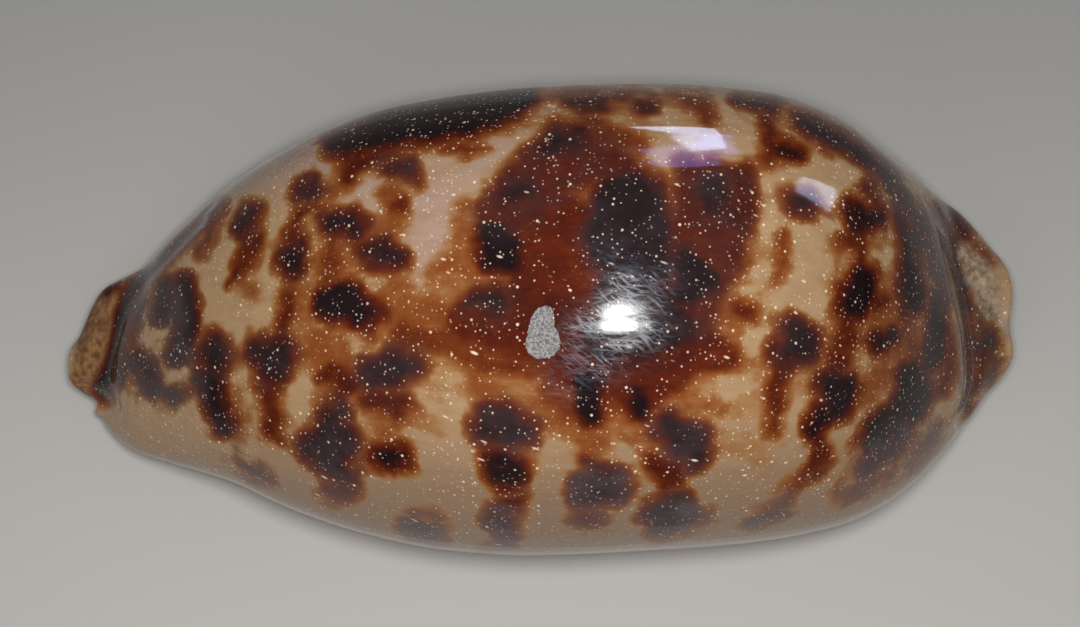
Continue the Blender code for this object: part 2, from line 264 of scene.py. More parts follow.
# The anterior half, from the crease behind the lobes to the crown.
ANTERIOR_MARKS: tuple[Mark, ...] = (
    Mark(
        "beside the crease, streak",
        Tone.RUST,
        ((217, 214, 3), (211, 226, 5), (204, 242, 5), (200, 252, 3)),
    ),
    Mark("second dot, head", Tone.DARK, ((253, 212, 6), (244, 227, 9)), 0.35),
    Mark("second dot, tail", Tone.RUST, ((254, 240, 8), (246, 254, 8), (239, 270, 7), (231, 282, 4))),
    Mark("amber below the second dot", Tone.AMBER, ((232, 282, 6), (250, 290, 8))),
    Mark("between the left pair", Tone.STAIN, ((170, 296, 6), (172, 318, 9), (170, 336, 9)), 1.0),
    Mark("left pair, left", Tone.BLACK, ((167, 284, 5), (163, 300, 6), (160, 318, 4)), 0.1),
    Mark(
        "left pair, right",
        Tone.BLACK,
        ((184, 284, 8), (189, 302, 7), (188, 325, 8), (182, 345, 7), (176, 356, 5)),
    ),
    Mark(
        "mottle by the crease",
        Tone.STAIN,
        ((146, 310, 6), (158, 338, 13), (174, 360, 18), (178, 382, 16)),
        1.0,
    ),
    Mark("mottle, lower", Tone.BROWN, ((146, 392, 9), (178, 394, 12), (198, 384, 9)), 1.0),
    Mark("hook by the crease", Tone.BLACK, ((137, 356, 4), (146, 368, 5), (152, 382, 4))),
    # An amber stroke under a painted grey reflection beside the crease.
    Mark("painted grey reflection by the crease", Tone.AMBER, ((132, 366, 8), (131, 384, 9), (146, 392, 8)), 1.0),
    Mark("tall blotch, top", Tone.DARK, ((214, 346, 12), (220, 362, 13)), 0.45),
    Mark("tall blotch, bottom", Tone.BLACK, ((214, 382, 10), (217, 404, 10), (223, 425, 10)), 0.1),
    Mark("tall blotch, edge", Tone.RUST, ((199, 352, 6), (203, 380, 8), (206, 404, 6))),
    Mark("tall blotch, amber", Tone.AMBER, ((236, 398, 9), (242, 424, 9), (238, 440, 7))),
    Mark("third blotch", Tone.DARK, ((262, 352, 14), (276, 354, 18), (272, 368, 14)), 0.4),
    Mark(
        "third blotch, tail",
        Tone.RUST,
        ((268, 386, 11), (272, 402, 8), (272, 414, 9), (274, 428, 10), (278, 436, 7)),
    ),
    Mark("lower blotch, top", Tone.DARK, ((337, 412, 10), (326, 430, 14)), 0.5),
    Mark("lower blotch", Tone.DARK, ((314, 446, 15), (336, 446, 22), (330, 462, 15), (346, 480, 10)), 0.5),
    Mark("lower blotch, foot", Tone.RUST, ((326, 490, 8), (344, 494, 11), (352, 490, 8)), 0.4),
    Mark("upper dot", Tone.DARK, ((302, 190, 8), (313, 186, 9)), 0.5),
    Mark("rust from the upper dot", Tone.RUST, ((322, 204, 5), (306, 212, 6), (295, 228, 6), (288, 242, 6))),
    Mark("fourth blotch", Tone.DARK, ((298, 246, 8), (289, 258, 12), (293, 268, 9)), 0.25),
    Mark("streak under the fourth", Tone.RUST, ((288, 296, 6), (285, 316, 7), (281, 334, 5))),
    Mark("fifth blotch", Tone.DARK, ((334, 223, 11), (348, 222, 13), (358, 228, 8)), 0.25),
    Mark("rust under the fifth", Tone.BROWN, ((332, 242, 9), (330, 262, 10), (328, 278, 9))),
    Mark("sixth blotch", Tone.BLACK, ((330, 302, 14), (346, 300, 17), (360, 314, 12)), 0.1),
    Mark("rust right of the sixth", Tone.RUST, ((366, 308, 13), (380, 316, 12), (368, 328, 10))),
    Mark("seventh blotch", Tone.DARK, ((364, 250, 9), (381, 251, 12), (397, 257, 10)), 0.3),
    Mark("rust under the seventh", Tone.RUST, ((372, 264, 9), (392, 266, 9), (404, 258, 6))),
    Mark("upper purple", Tone.DARK, ((391, 168, 7), (406, 167, 9)), 0.6),
    Mark("upper purple, tail", Tone.RUST, ((414, 176, 8), (418, 186, 5)), 0.3),
    Mark("small rust dot", Tone.BROWN, ((386, 194, 5), (392, 191, 5))),
    Mark("small rust dash", Tone.RUST, ((390, 207, 5), (400, 205, 6))),
    Mark("amber veil, upper", Tone.AMBER, ((334, 190, 9), (330, 210, 12), (336, 236, 14))),
    Mark("amber veil, middle", Tone.AMBER, ((392, 224, 14), (380, 236, 16), (320, 266, 18))),
    Mark("amber veil, left", Tone.AMBER, ((300, 300, 18), (306, 330, 18), (300, 346, 16))),
    Mark("amber veil, low", Tone.AMBER, ((330, 350, 26), (344, 376, 24), (330, 398, 18))),
    Mark("amber veil, right", Tone.AMBER, ((400, 300, 22), (430, 312, 20), (396, 332, 20))),
    Mark("eighth blotch", Tone.DARK, ((374, 372, 16), (394, 368, 19), (410, 366, 12)), 0.5),
    Mark("rust left of the eighth", Tone.RUST, ((334, 374, 14), (350, 386, 13), (338, 396, 8))),
    Mark("rust under the eighth", Tone.RUST, ((372, 400, 12), (394, 406, 13), (408, 400, 9)), 0.15),
    Mark("amber under the eighth", Tone.AMBER, ((384, 424, 14), (400, 420, 12))),
    Mark("ninth blotch", Tone.RUST, ((378, 458, 14), (396, 456, 16), (402, 464, 10))),
    Mark("ninth blotch, heart", Tone.DARK, ((386, 460, 9), (396, 456, 8))),
    Mark("band along the top", Tone.BLACK, ((332, 145, 9), (352, 137, 13), (382, 128, 17), (424, 121, 19))),
    Mark(
        "band along the top, right",
        Tone.BLACK,
        ((424, 121, 19), (462, 112, 20), (496, 105, 17), (526, 98, 10)),
    ),
    Mark("under the band", Tone.RUST, ((346, 176, 9), (352, 160, 11), (374, 152, 10), (400, 146, 7))),
    Mark("amber under the band", Tone.BROWN, ((412, 146, 6), (440, 144, 6), (466, 147, 9), (484, 144, 5))),
    Mark("amber right of the band", Tone.AMBER, ((490, 130, 9), (520, 118, 8), (540, 108, 7))),
)

# The posterior half, from the crown to the collar.
POSTERIOR_MARKS: tuple[Mark, ...] = (
    Mark("upper streak", Tone.RUST, ((769, 120, 7), (769, 138, 9), (776, 148, 9), (766, 162, 5))),
    Mark("upper streak, heart", Tone.DARK, ((783, 149, 7), (794, 154, 6))),
    Mark(
        "band inside the edge",
        Tone.BLACK,
        ((798, 118, 4), (812, 125, 8), (836, 138, 8), (862, 154, 7), (886, 174, 6)),
        0.3,
    ),
    Mark("brown inside the band", Tone.BROWN, ((812, 134, 5), (834, 150, 6))),
    Mark("purple below it", Tone.DARK, ((796, 202, 8), (808, 205, 10)), 0.4),
    Mark("rust round the purple", Tone.BROWN, ((786, 196, 8), (800, 212, 9), (818, 212, 8))),
    Mark("orange streak", Tone.BROWN, ((781, 230, 5), (779, 256, 4), (777, 282, 4))),
    Mark("amber round the streak", Tone.STAIN, ((760, 250, 12), (768, 290, 13), (752, 318, 14))),
    Mark("rust dot", Tone.RUST, ((742, 308, 8), (752, 312, 7))),
    Mark("collar dot, cap", Tone.RUST, ((868, 186, 6), (872, 200, 8))),
    Mark("collar dot", Tone.DARK, ((850, 208, 7), (862, 222, 12), (873, 216, 9)), 0.1),
    Mark("rust under the collar dot", Tone.RUST, ((848, 238, 9), (862, 244, 8), (864, 262, 6))),
    Mark("amber under the collar dot", Tone.AMBER, ((838, 246, 9), (838, 276, 10), (880, 240, 10))),
    Mark("right blotch", Tone.BLACK, ((863, 280, 13), (862, 296, 16), (856, 306, 12))),
    Mark("rust round the right blotch", Tone.RUST, ((842, 292, 9), (844, 306, 10), (884, 300, 8))),
    Mark("margin band, top", Tone.DARK, ((900, 216, 5), (906, 240, 8), (910, 262, 8))),
    Mark("margin band, middle", Tone.BLACK, ((911, 270, 8), (913, 290, 10), (912, 306, 8))),
    Mark("margin band, low", Tone.BLACK, ((934, 300, 6), (936, 330, 10), (935, 352, 9), (930, 362, 7))),
    Mark("rust inside the band", Tone.BROWN, ((900, 276, 7), (902, 316, 9), (912, 344, 9), (922, 366, 8))),
    Mark("rust outside the band", Tone.RUST, ((950, 340, 5), (949, 368, 7), (941, 390, 8))),
    Mark("middle purple", Tone.DARK, ((790, 328, 12), (804, 344, 19), (786, 356, 11)), 0.45),
    Mark("rust below the purple", Tone.RUST, ((772, 344, 8), (780, 372, 13), (776, 382, 10))),
    Mark("tall rust streak", Tone.RUST, ((842, 308, 9), (849, 328, 12), (842, 350, 10), (836, 374, 13))),
    Mark("lower blotch", Tone.BLACK, ((830, 385, 14), (842, 392, 16), (838, 405, 12)), 0.25),
    Mark("lower blotch, tail", Tone.DARK, ((824, 414, 11), (816, 430, 9))),
    Mark("lower rust", Tone.RUST, ((817, 444, 11), (820, 458, 12), (812, 470, 9))),
    Mark("lower rust, tail", Tone.BROWN, ((812, 474, 8), (800, 483, 9), (789, 493, 6))),
    Mark("dot by the margin", Tone.DARK, ((878, 343, 10), (891, 335, 9)), 0.1),
    Mark(
        "amber by the margin",
        Tone.AMBER,
        ((880, 320, 14), (900, 356, 14), (880, 376, 14), (868, 394, 12)),
    ),
    Mark("margin blotch", Tone.BLACK, ((912, 378, 14), (914, 392, 18), (908, 408, 14))),
    Mark("margin blotch, tail", Tone.BLACK, ((890, 421, 13), (878, 432, 13), (868, 443, 8))),
    Mark("margin sweep", Tone.DARK, ((900, 436, 8), (884, 450, 9), (866, 466, 8)), 0.9),
    Mark("margin sweep, tail", Tone.BROWN, ((888, 474, 6), (864, 486, 8), (848, 500, 6)), 0.6),
    Mark("margin sweep, amber", Tone.AMBER, ((860, 456, 9), (842, 480, 9), (838, 500, 8))),
    Mark("left dot", Tone.RUST, ((775, 391, 9), (776, 405, 9))),
    Mark("left dot, tail", Tone.BROWN, ((772, 418, 7), (773, 433, 8))),
    Mark("amber field, right", Tone.STAIN, ((812, 370, 10), (800, 386, 12), (760, 388, 14))),
)

# The flank towards the columella, down to its margin.
LOWER_MARKS: tuple[Mark, ...] = (
    Mark("centre blotch", Tone.DARK, ((487, 425, 18), (508, 425, 22), (526, 430, 14)), 0.5),
    Mark("centre, second", Tone.DARK, ((500, 468, 15), (511, 472, 14)), 0.1),
    Mark("centre, second, rust", Tone.RUST, ((494, 458, 14), (520, 462, 12), (502, 484, 9))),
    Mark("centre, third", Tone.RUST, ((500, 514, 13), (511, 505, 12), (520, 498, 7)), 0.2),
    Mark("centre, third, shade", Tone.DARK, ((496, 522, 10), (506, 528, 9)), 0.7),
    Mark("middle blotch", Tone.DARK, ((586, 491, 16), (605, 485, 18), (616, 492, 12)), 0.75),
    Mark("middle, rust cap", Tone.RUST, ((588, 464, 8), (598, 472, 10))),
    Mark("middle, second", Tone.RUST, ((579, 518, 9), (598, 517, 10)), 0.6),
    Mark("right blotch", Tone.DARK, ((670, 428, 17), (685, 440, 22), (697, 456, 15)), 0.5),
    Mark("right, rust", Tone.RUST, ((654, 464, 13), (672, 472, 15), (664, 480, 10))),
    Mark("right, second", Tone.DARK, ((658, 520, 15), (676, 512, 16)), 0.4),
    Mark("right, second, cap", Tone.RUST, ((664, 500, 9), (682, 500, 10))),
    Mark("right, grey", Tone.BROWN, ((690, 518, 9), (702, 516, 8)), 1.0),
    # A rust stroke under a painted grey reflection at the lower edge.
    Mark("margin grey, left, under painted grey reflection", Tone.RUST, ((411, 527, 12), (431, 530, 14)), 0.95),
    Mark("margin grey, centre", Tone.BROWN, ((488, 545, 5), (508, 546, 5)), 1.0),
    Mark("margin grey, right", Tone.BROWN, ((786, 508, 7), (768, 514, 10), (750, 525, 9)), 1.0),
    Mark("margin grey, far left", Tone.BROWN, ((238, 462, 7), (252, 471, 9), (267, 482, 7)), 0.9),
    Mark("margin grey, far right", Tone.BROWN, ((939, 428, 6), (930, 445, 8), (914, 465, 9)), 0.9),
    Mark("amber, left", Tone.STAIN, ((430, 420, 24), (440, 380, 24), (410, 440, 16))),
    Mark("amber, centre", Tone.STAIN, ((560, 446, 14), (600, 452, 14), (630, 470, 14))),
    Mark("amber, right", Tone.STAIN, ((740, 400, 20), (730, 440, 18), (760, 460, 14))),
)

# The creases, the two ends and what shows on them, with painted shade in the anterior crease and painted grey
# reflection along the collar.
END_MARKS: tuple[Mark, ...] = (
    # The crease's three strokes are painted shade in the crease, and at its foot the painted shadow of the
    # canal's notch.
    Mark("crease, top", Tone.DARK, ((219, 206, 2), (200, 222, 2.5), (180, 241, 3.5), (160, 259, 4.5))),
    Mark("crease, bend", Tone.BLACK, ((160, 259, 4.5), (143, 276, 5), (131, 293, 6), (123, 316, 6))),
    Mark("crease, foot", Tone.BLACK, ((123, 316, 6), (117, 346, 6), (110, 372, 8), (101, 392, 9))),
    Mark(
        "fine line",
        Tone.RUST,
        ((213, 218, 1.6), (190, 236, 2), (168, 258, 2.4), (150, 280, 2.6), (140, 300, 2.6)),
    ),
    Mark("fine line, foot", Tone.RUST, ((140, 300, 2.6), (136, 322, 2.6), (131, 344, 3))),
    Mark("lobe's top spot", Tone.DARK, ((112, 284, 5), (106, 292, 5))),
    Mark("anterior tip", Tone.AMBER, ((78, 384, 6), (84, 390, 5))),
    Mark("posterior spot", Tone.DARK, ((948, 212, 5), (958, 222, 6), (964, 232, 5)), 0.3),
    Mark("posterior brown, upper", Tone.BROWN, ((958, 228, 6), (966, 240, 6), (984, 254, 6), (990, 262, 4))),
    Mark("posterior brown, lower", Tone.RUST, ((966, 330, 5), (980, 352, 10), (984, 376, 9)), 0.8),
    # A rust stroke under a painted grey reflection along the collar.
    Mark(
        "painted grey reflection by the collar",
        Tone.RUST,
        ((882, 174, 6), (912, 212, 10), (936, 258, 11), (946, 300, 7)),
        1.0,
    ),
    Mark("posterior streak", Tone.BROWN, ((962, 312, 4), (972, 338, 5), (976, 362, 5)), 0.5),
    Mark(
        "shade behind the collar",
        Tone.DARK,
        ((938, 208, 2), (950, 240, 4), (958, 276, 5), (966, 306, 4)),
        0.9,
    ),
    Mark(
        "shade behind it, lower",
        Tone.RUST,
        ((966, 306, 4), (972, 340, 4), (973, 380, 5), (966, 408, 4)),
        0.9,
    ),
    Mark("veil of the lower lobe", Tone.BROWN, ((982, 312, 6), (992, 340, 10), (988, 376, 9)), 1.0),
)

ALL_MARKS = FIELD_MARKS + CROWN_MARKS + ANTERIOR_MARKS + POSTERIOR_MARKS + LOWER_MARKS + END_MARKS


class Part(Enum):
    """A part of the skin that a zone keeps to."""

    BACK = "the coloured back"
    FACING = "what faces upwards"
    OUTSIDE = "the outside"
    ALL = "the whole skin"


@dataclass(frozen=True)
class Zone:
    """A place with a soft edge that looks different and isn't pigment, kept as an attribute.

    Attributes:
        name: The attribute's name.
        soft: The width of its edge in millimetres.
        part: The part of the skin that it keeps to.
        paths: Its strokes, each a row of dabs in the photograph.
    """

    name: str
    soft: float
    part: Part
    paths: tuple[tuple[Dab, ...], ...]


# The worn halo, the matt lobes, the painted pale reflection lines along the collar and the lobe over it,
# the pinker ground, and the denser specks.
ZONES: tuple[Zone, ...] = (
    Zone(
        "wear",
        5.0,
        Part.BACK,
        (((564, 374, 20), (600, 340, 42), (624, 322, 44), (652, 290, 22), (612, 262, 12)),),
    ),
    Zone(
        "anterior_lobe",
        1.0,
        Part.OUTSIDE,
        (((106, 296, 12), (97, 326, 16), (92, 352, 17), (86, 376, 15), (78, 386, 9)),),
    ),
    Zone(
        "posterior_lobe",
        1.6,
        Part.OUTSIDE,
        (((964, 252, 8), (978, 272, 13), (988, 296, 12), (990, 312, 8)),),
    ),
    # The rims are painted pale reflection lines along the collar and the edge of the lobe over it.
    Zone(
        "rims",
        0.8,
        Part.FACING,
        (
            ((926, 196, 1), (938, 218, 2.6), (946, 250, 3), (953, 286, 3), (960, 322, 3)),
            ((960, 322, 3), (964, 376, 3), (960, 404, 2)),
            ((966, 280, 2), (980, 288, 3), (994, 302, 3.2), (1004, 320, 3), (1007, 338, 2)),
        ),
    ),
    Zone(
        "pink",
        6.0,
        Part.ALL,
        (
            ((430, 200, 34), (438, 240, 34), (410, 270, 30)),
            ((210, 170, 30), (300, 160, 30), (400, 190, 30)),
            ((470, 170, 20), (540, 104, 20)),
        ),
    ),
    Zone(
        "specks",
        7.0,
        Part.ALL,
        (
            ((760, 250, 46), (790, 330, 56), (770, 440, 56)),
            ((300, 220, 40), (300, 320, 44)),
            ((440, 200, 26), (450, 250, 26)),
            ((880, 300, 40), (880, 420, 40)),
            ((440, 160, 26), (480, 130, 26)),
        ),
    ),
)

# The dull scar beside the highlight, and the width of its ragged edge in millimetres.
SCAR_PATH: tuple[Dab, ...] = ((544, 316, 10), (541, 330, 13), (543, 341, 18))
SCAR_EDGE = 2


@dataclass(frozen=True)
class SpotRing:
    """Faint spots low on the sides, at the points of the skin that are nearest to an oval ring round it.

    Attributes:
        count: How many there are.
        stray: How far they stray from even steps round the ring, as a share of a step.
        ring: The ring's two radii in millimetres.
        height: Its mean height, and how far the spots stray from it, in millimetres.
        reach: Their mean radius, and how much it varies, in millimetres.
        core: The share of the radius over which a spot is at its full strength.
        strength: Their mean strength, and how much it varies.
        wander: How many millimetres their outlines wander for each pixel that a blotch's does.
    """

    count: int = 38
    stray: float = 0.8
    ring: tuple[float, float] = (60, 30)
    height: tuple[float, float] = (11, 6)
    reach: tuple[float, float] = (4.6, 1.8)
    core: float = 0.1
    strength: tuple[float, float] = (0.75, 0.25)
    wander: float = 0.25


@dataclass(frozen=True)
class Groove:
    """A crease pressed into the surface.

    Attributes:
        name: Where it is.
        depth: How deep it is in millimetres.
        soft: How far its slopes reach beyond the path, in millimetres.
        path: Its dabs in the photograph.
    """

    name: str
    depth: float
    soft: float
    path: tuple[Dab, ...]


# The creases of the anterior end, then the collar of the posterior end and the edge of the lobe over it.
GROOVES: tuple[Groove, ...] = (
    Groove(
        "anterior crease",
        0.4,
        1.3,
        ((200, 220, 1), (166, 252, 2), (141, 276, 3), (128, 298, 4), (119, 332, 4)),
    ),
    Groove("anterior crease, foot", 0.4, 1.4, ((119, 332, 4), (113, 356, 5), (103, 388, 6))),
    Groove("second fold", 0.25, 0.7, ((213, 204, 0.5), (176, 240, 1), (150, 262, 1.4), (136, 284, 1.2))),
    Groove(
        "collar, upper",
        0.6,
        0.7,
        ((926, 196, 1), (942, 226, 3), (951, 256, 4), (959, 288, 4), (968, 322, 4)),
    ),
    Groove(
        "collar, lower",
        0.6,
        0.7,
        ((968, 322, 4), (972, 350, 4), (973, 376, 4), (970, 398, 3), (960, 424, 1)),
    ),
    Groove(
        "overlapping lobe",
        0.55,
        0.5,
        ((962, 276, 2), (976, 284, 2.4), (990, 300, 2.4), (1001, 318, 1.6)),
    ),
)

# How far inside a groove's path its floor is reached, in millimetres.
GROOVE_FLOOR = 0.1

# How far the outer lip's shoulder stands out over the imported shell's rounder one, in millimetres.
SHOULDER = 1.7

# The height of the axis round which its angles are measured, in millimetres, and the angles in degrees
# between which it fades out towards the crown and towards the foot.
SHOULDER_AXIS = 14
SHOULDER_CROWN = (84, 40)
SHOULDER_FOOT = (12, 44)

# The places along the shell between which the shoulder fades out towards each end, in millimetres.
SHOULDER_ANTERIOR = (-48, -20)
SHOULDER_POSTERIOR = (52, 30)

# How much further the anterior end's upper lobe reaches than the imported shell's, in millimetres.
LOBE_REACH = 1.5

# The photograph's rows between which the lobe starts and stops, then the places along the shell and the
# heights between which it rises, in millimetres.
LOBE_TOP = (262, 292)
LOBE_FOOT = (408, 384)
LOBE_PLACES = (-47, -52)
LOBE_HEIGHTS = (2.5, 7)

# How far up the surface faces, as the height of its normal, where each of these fades in.
LOBE_SLOPES = (-0.3, 0.0)
GROOVE_SLOPES = (-0.1, 0.25)
BACK_SLOPES = (-0.25, 0.2)
FACING_SLOPES = (0.0, 0.3)
FLANK_SLOPES = (-0.85, 0.0)

# The heights between which the coloured back fades in, in millimetres.
BACK_HEIGHTS = (3, 9)

# The back is split finer above this height, where a step across it is longer than this, in millimetres. A
# step goes across where less than this share of it runs along the shell.
FINER_ABOVE = 9
LONGEST_STEP = 0.7
ACROSS = 0.5

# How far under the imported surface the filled-out skin stays, how far away that surface is looked for,
# both in millimetres, and the share of the way there that has to run straight out.
UNDER_SURFACE = 0.12
SEARCH = 3
STRAIGHT_OUT = 0.8

# A ray that says whether a point is outside starts this far off it and goes this far, in millimetres.
RAY_START = 0.05
RAY_REACH = 60

# The rays along each side of the patch that a reflection is placed by, and the pixels between them.
PATCH_RAYS = 5
PATCH_STEP = 2.5

# How far the soft edge of a stroke runs out and in, and how much further out for a hazy one, in millimetres.
EDGE_OUT = 1.65
EDGE_IN = 0.7
HAZY_OUT = 0.5

# The depths inside a stroke between which its haze fades in, in millimetres.
HAZE_DEPTHS = (-2.0, 0.4)

# How the pigment rises over the edge, how firmly strokes that meet are joined, and the most pigment.
EDGE_POWER = 1.1
JOIN_POWER = 6
MOST_PIGMENT = 1.05

# The noises that make outlines wander: each one's size in millimetres, and its reach in pixels.
WANDERS = ((5.0, 5.0), (2.2, 5.0), (1.0, 2.6))

# The columns between which this wandering fades out towards each end.
CALM_ANTERIOR = (150, 210)
CALM_POSTERIOR = (950, 910)

# The rows between which the ground turns greyer and darker towards the columella's margin, as painted shade
# and painted grey reflection.
LOW_ROWS = (380, 520)


class Skin:
    """The shell's visible surface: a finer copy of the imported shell, with its markings as attributes."""

    def __init__(self, node: bpy.types.Object, camera: PhotoCamera) -> None:
        """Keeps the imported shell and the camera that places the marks.

        Args:
            node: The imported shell's object.
            camera: The photograph's camera.
        """
        self.node = node
        self.camera = camera
        self.object: bpy.types.Object = node
        self.points = np.zeros((0, 3))
        self.normals = np.zeros((0, 3))
        self.pixels = np.zeros((0, 2))
        self.smudged = np.zeros((0, 2))
        self.outside = np.zeros(0)
        self.tree: BVHTree | None = None

    def build(self) -> bpy.types.Object:
        """Copies the shell, makes it finer and smooth, and marks it.

        Returns:
            The dressed object.
        """
        self.copy_node()
        self.refine()
        self.read_surface()
        self.fill_out()
        self.sculpt()
        self.mark()
        return self.object

    def copy_node(self) -> None:
        """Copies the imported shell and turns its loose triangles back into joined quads."""
        bpy.ops.object.select_all(action="DESELECT")
        bpy.context.view_layer.objects.active = self.node
        self.node.select_set(True)
        bpy.ops.object.duplicate(linked=False)
        self.object = bpy.context.object
        self.object.name = "skin"
        self.object.data.name = "skin"
        bpy.ops.object.mode_set(mode="EDIT")
        bpy.ops.mesh.select_all(action="SELECT")
        bpy.ops.mesh.remove_doubles(threshold=1e-6)
        bpy.ops.mesh.tris_convert_to_quads(face_threshold=3.2, shape_threshold=3.2)
        bpy.ops.object.mode_set(mode="OBJECT")

    def refine(self) -> None:
        """Rounds the surface with two subdivisions, then splits the back's long quads once more."""
        rounded = self.object.modifiers.new("rounded", "SUBSURF")
        rounded.levels = 2
        rounded.render_levels = 2
        bpy.ops.object.modifier_apply(modifier=rounded.name)
        mesh = self.object.data
        points = self.read("vertices", "co", 3)
        normals = self.read("vertices", "normal", 3)
        ends = self.read("edges", "vertices", 2).astype(int)
        step = points[ends[:, 1]] - points[ends[:, 0]]
        across = np.abs(step[:, 0]) < ACROSS * np.linalg.norm(step, axis=1)
        high = points[ends].min(axis=1)[:, 2] > FINER_ABOVE * MM
        outer = self.outward(points, normals)[ends].all(axis=1)
        long = np.linalg.norm(step, axis=1) > LONGEST_STEP * MM
        self.select_edges(across & high & outer & long)
        bpy.ops.object.mode_set(mode="EDIT")
        bpy.ops.mesh.subdivide(number_cuts=1, smoothness=1.0)
        bpy.ops.mesh.select_all(action="DESELECT")
        bpy.ops.object.mode_set(mode="OBJECT")
        mesh.shade_smooth()

    def select_edges(self, chosen: np.ndarray) -> None:
        """Selects some edges and nothing else.

        Args:
            chosen: One truth value for each edge.
        """
        mesh = self.object.data
        bpy.context.tool_settings.mesh_select_mode = (False, True, False)
        mesh.polygons.foreach_set("select", np.zeros(len(mesh.polygons), bool))
        mesh.vertices.foreach_set("select", np.zeros(len(mesh.vertices), bool))
        mesh.edges.foreach_set("select", chosen)

    def read(self, layer: str, name: str, width: int) -> np.ndarray:
        """Reads one property of the mesh as an array.

        Args:
            layer: The mesh's collection, such as vertices.
            name: The property's name.
            width: How many numbers each item holds.

        Returns:
            One row for each item.
        """
        items = getattr(self.object.data, layer)
        flat = np.zeros(len(items) * width)
        items.foreach_get(name, flat)
        return flat.reshape(-1, width)

    def outward(self, points: np.ndarray, normals: np.ndarray) -> np.ndarray:
        """Says which points are on the outside: a ray leaving one there meets no wall.

        Args:
            points: The points, in metres.
            normals: Their normals.

        Returns:
            One truth value for each point.
        """
        tree = BVHTree.FromObject(self.object, bpy.context.evaluated_depsgraph_get())
        outside = np.ones(len(points), bool)
        for i, (point, normal) in enumerate(zip(points, normals)):
            aim = Vector(normal)
            hit = tree.ray_cast(Vector(point) + aim * RAY_START * MM, aim, RAY_REACH * MM)
            outside[i] = hit[0] is None
        return outside

    def read_surface(self) -> None:
        """Keeps the finished mesh's points and normals, and a tree to cast rays at."""
        self.points = self.read("vertices", "co", 3)
        self.normals = self.read("vertices", "normal", 3)
        self.pixels = self.camera.pixels(self.points)
        self.tree = BVHTree.FromObject(self.object, bpy.context.evaluated_depsgraph_get())

    def move(self, by: np.ndarray) -> None:
        """Moves the skin's points and reads the surface again.

        Args:
            by: The step of each point, in metres.
        """
        self.object.data.vertices.foreach_set("co", (self.points + by).ravel())
        self.object.data.update()
        bpy.context.view_layer.update()
        self.read_surface()

    def fill_out(self) -> None:
        """Brings back what the rounding took off the tips and rims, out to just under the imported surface."""
        packed = BVHTree.FromObject(self.node, bpy.context.evaluated_depsgraph_get())
        step = np.zeros_like(self.points)
        for i, (point, normal) in enumerate(zip(self.points, self.normals)):
            nearest, _, _, away = packed.find_nearest(Vector(point), SEARCH * MM)
            if nearest is not None and away > UNDER_SURFACE * MM:
                reach = np.array(nearest) - point
                if float(reach @ normal) > STRAIGHT_OUT * away:
                    step[i] = reach * (1 - UNDER_SURFACE * MM / away)
        self.move(step)

    def sculpt(self) -> None:
        """Squares the outer lip's shoulder, and presses in the creases and collar edges of the two ends."""
        self.outside = self.outward(self.points, self.normals).astype(float)
        push = self.shoulder() - self.pressed()
        self.move(self.lobe_step() + self.normals * (push * self.outside * MM)[:, None])

    def along(self, low: float, high: float) -> np.ndarray:
        """Rises from 0 to 1 along the shell, between two places in millimetres."""
        return smooth_step(low * MM, high * MM, self.points[:, 0])

    def upwards(self, low: float, high: float) -> np.ndarray:
        """Rises from 0 to 1 upwards, between two heights in millimetres."""
        return smooth_step(low * MM, high * MM, self.points[:, 2])

    def shoulder(self) -> np.ndarray:
        """The push that squares the outer lip's shoulder, by the angle round the shell's axis.

        Returns:
            The push of each point, in millimetres.
        """
        angle = np.degrees(np.arctan2(self.points[:, 2] - SHOULDER_AXIS * MM, self.points[:, 1]))
        middle = self.along(*SHOULDER_ANTERIOR) * self.along(*SHOULDER_POSTERIOR)
        return SHOULDER * smooth_step(*SHOULDER_CROWN, angle) * smooth_step(*SHOULDER_FOOT, angle) * middle

    def lobe_step(self) -> np.ndarray:
        """The step that brings the anterior end's upper lobe out, no further than the shell's tip.

        Returns:
            The step of each point, in metres.
        """
        row = self.pixels[:, 1]
        lobe = smooth_step(*LOBE_TOP, row) * smooth_step(*LOBE_FOOT, row) * self.along(*LOBE_PLACES)
        lobe = lobe * self.upwards(*LOBE_HEIGHTS) * smooth_step(*LOBE_SLOPES, self.normals[:, 2])
        room = np.minimum(self.points[:, 0].min() - self.points[:, 0], 0.0)
        step = np.zeros_like(self.points)
        step[:, 0] = np.maximum(-LOBE_REACH * MM * lobe, room)
        return step

    def pressed(self) -> np.ndarray:
        """The depth of the creases and collar edges.

        Returns:
            The depth at each point, in millimetres.
        """
        seen = self.outside * smooth_step(*GROOVE_SLOPES, self.normals[:, 2])
        depth = np.zeros(len(self.points))
        for groove in GROOVES:
            share = smooth_step(-groove.soft, GROOVE_FLOOR, self.inside_by(groove.path))
            depth = np.maximum(depth, groove.depth * share)
            log.debug("%s: %.2f mm deep", groove.name, groove.depth)
        return depth * seen

    def surface_at(self, x: float, y: float) -> tuple[Vector, Vector]:
        """Finds what a small patch of the photograph shows.

        Args:
            x: The patch's middle column.
            y: Its middle row.

        Returns:
            The mean point of the shell there and its mean normal.
        """
        start = Vector(self.camera.place)
        points, normals = Vector(), Vector()
        middle = PATCH_RAYS // 2
        for i in range(PATCH_RAYS**2):
            across, down = i % PATCH_RAYS - middle, i // PATCH_RAYS - middle
            aim = self.camera.ray(x + PATCH_STEP * across, y + PATCH_STEP * down)
            point, normal, _, _ = self.tree.ray_cast(start, aim)
            if point is not None:
                points += point / PATCH_RAYS**2
                normals += normal
        return points, normals.normalized()

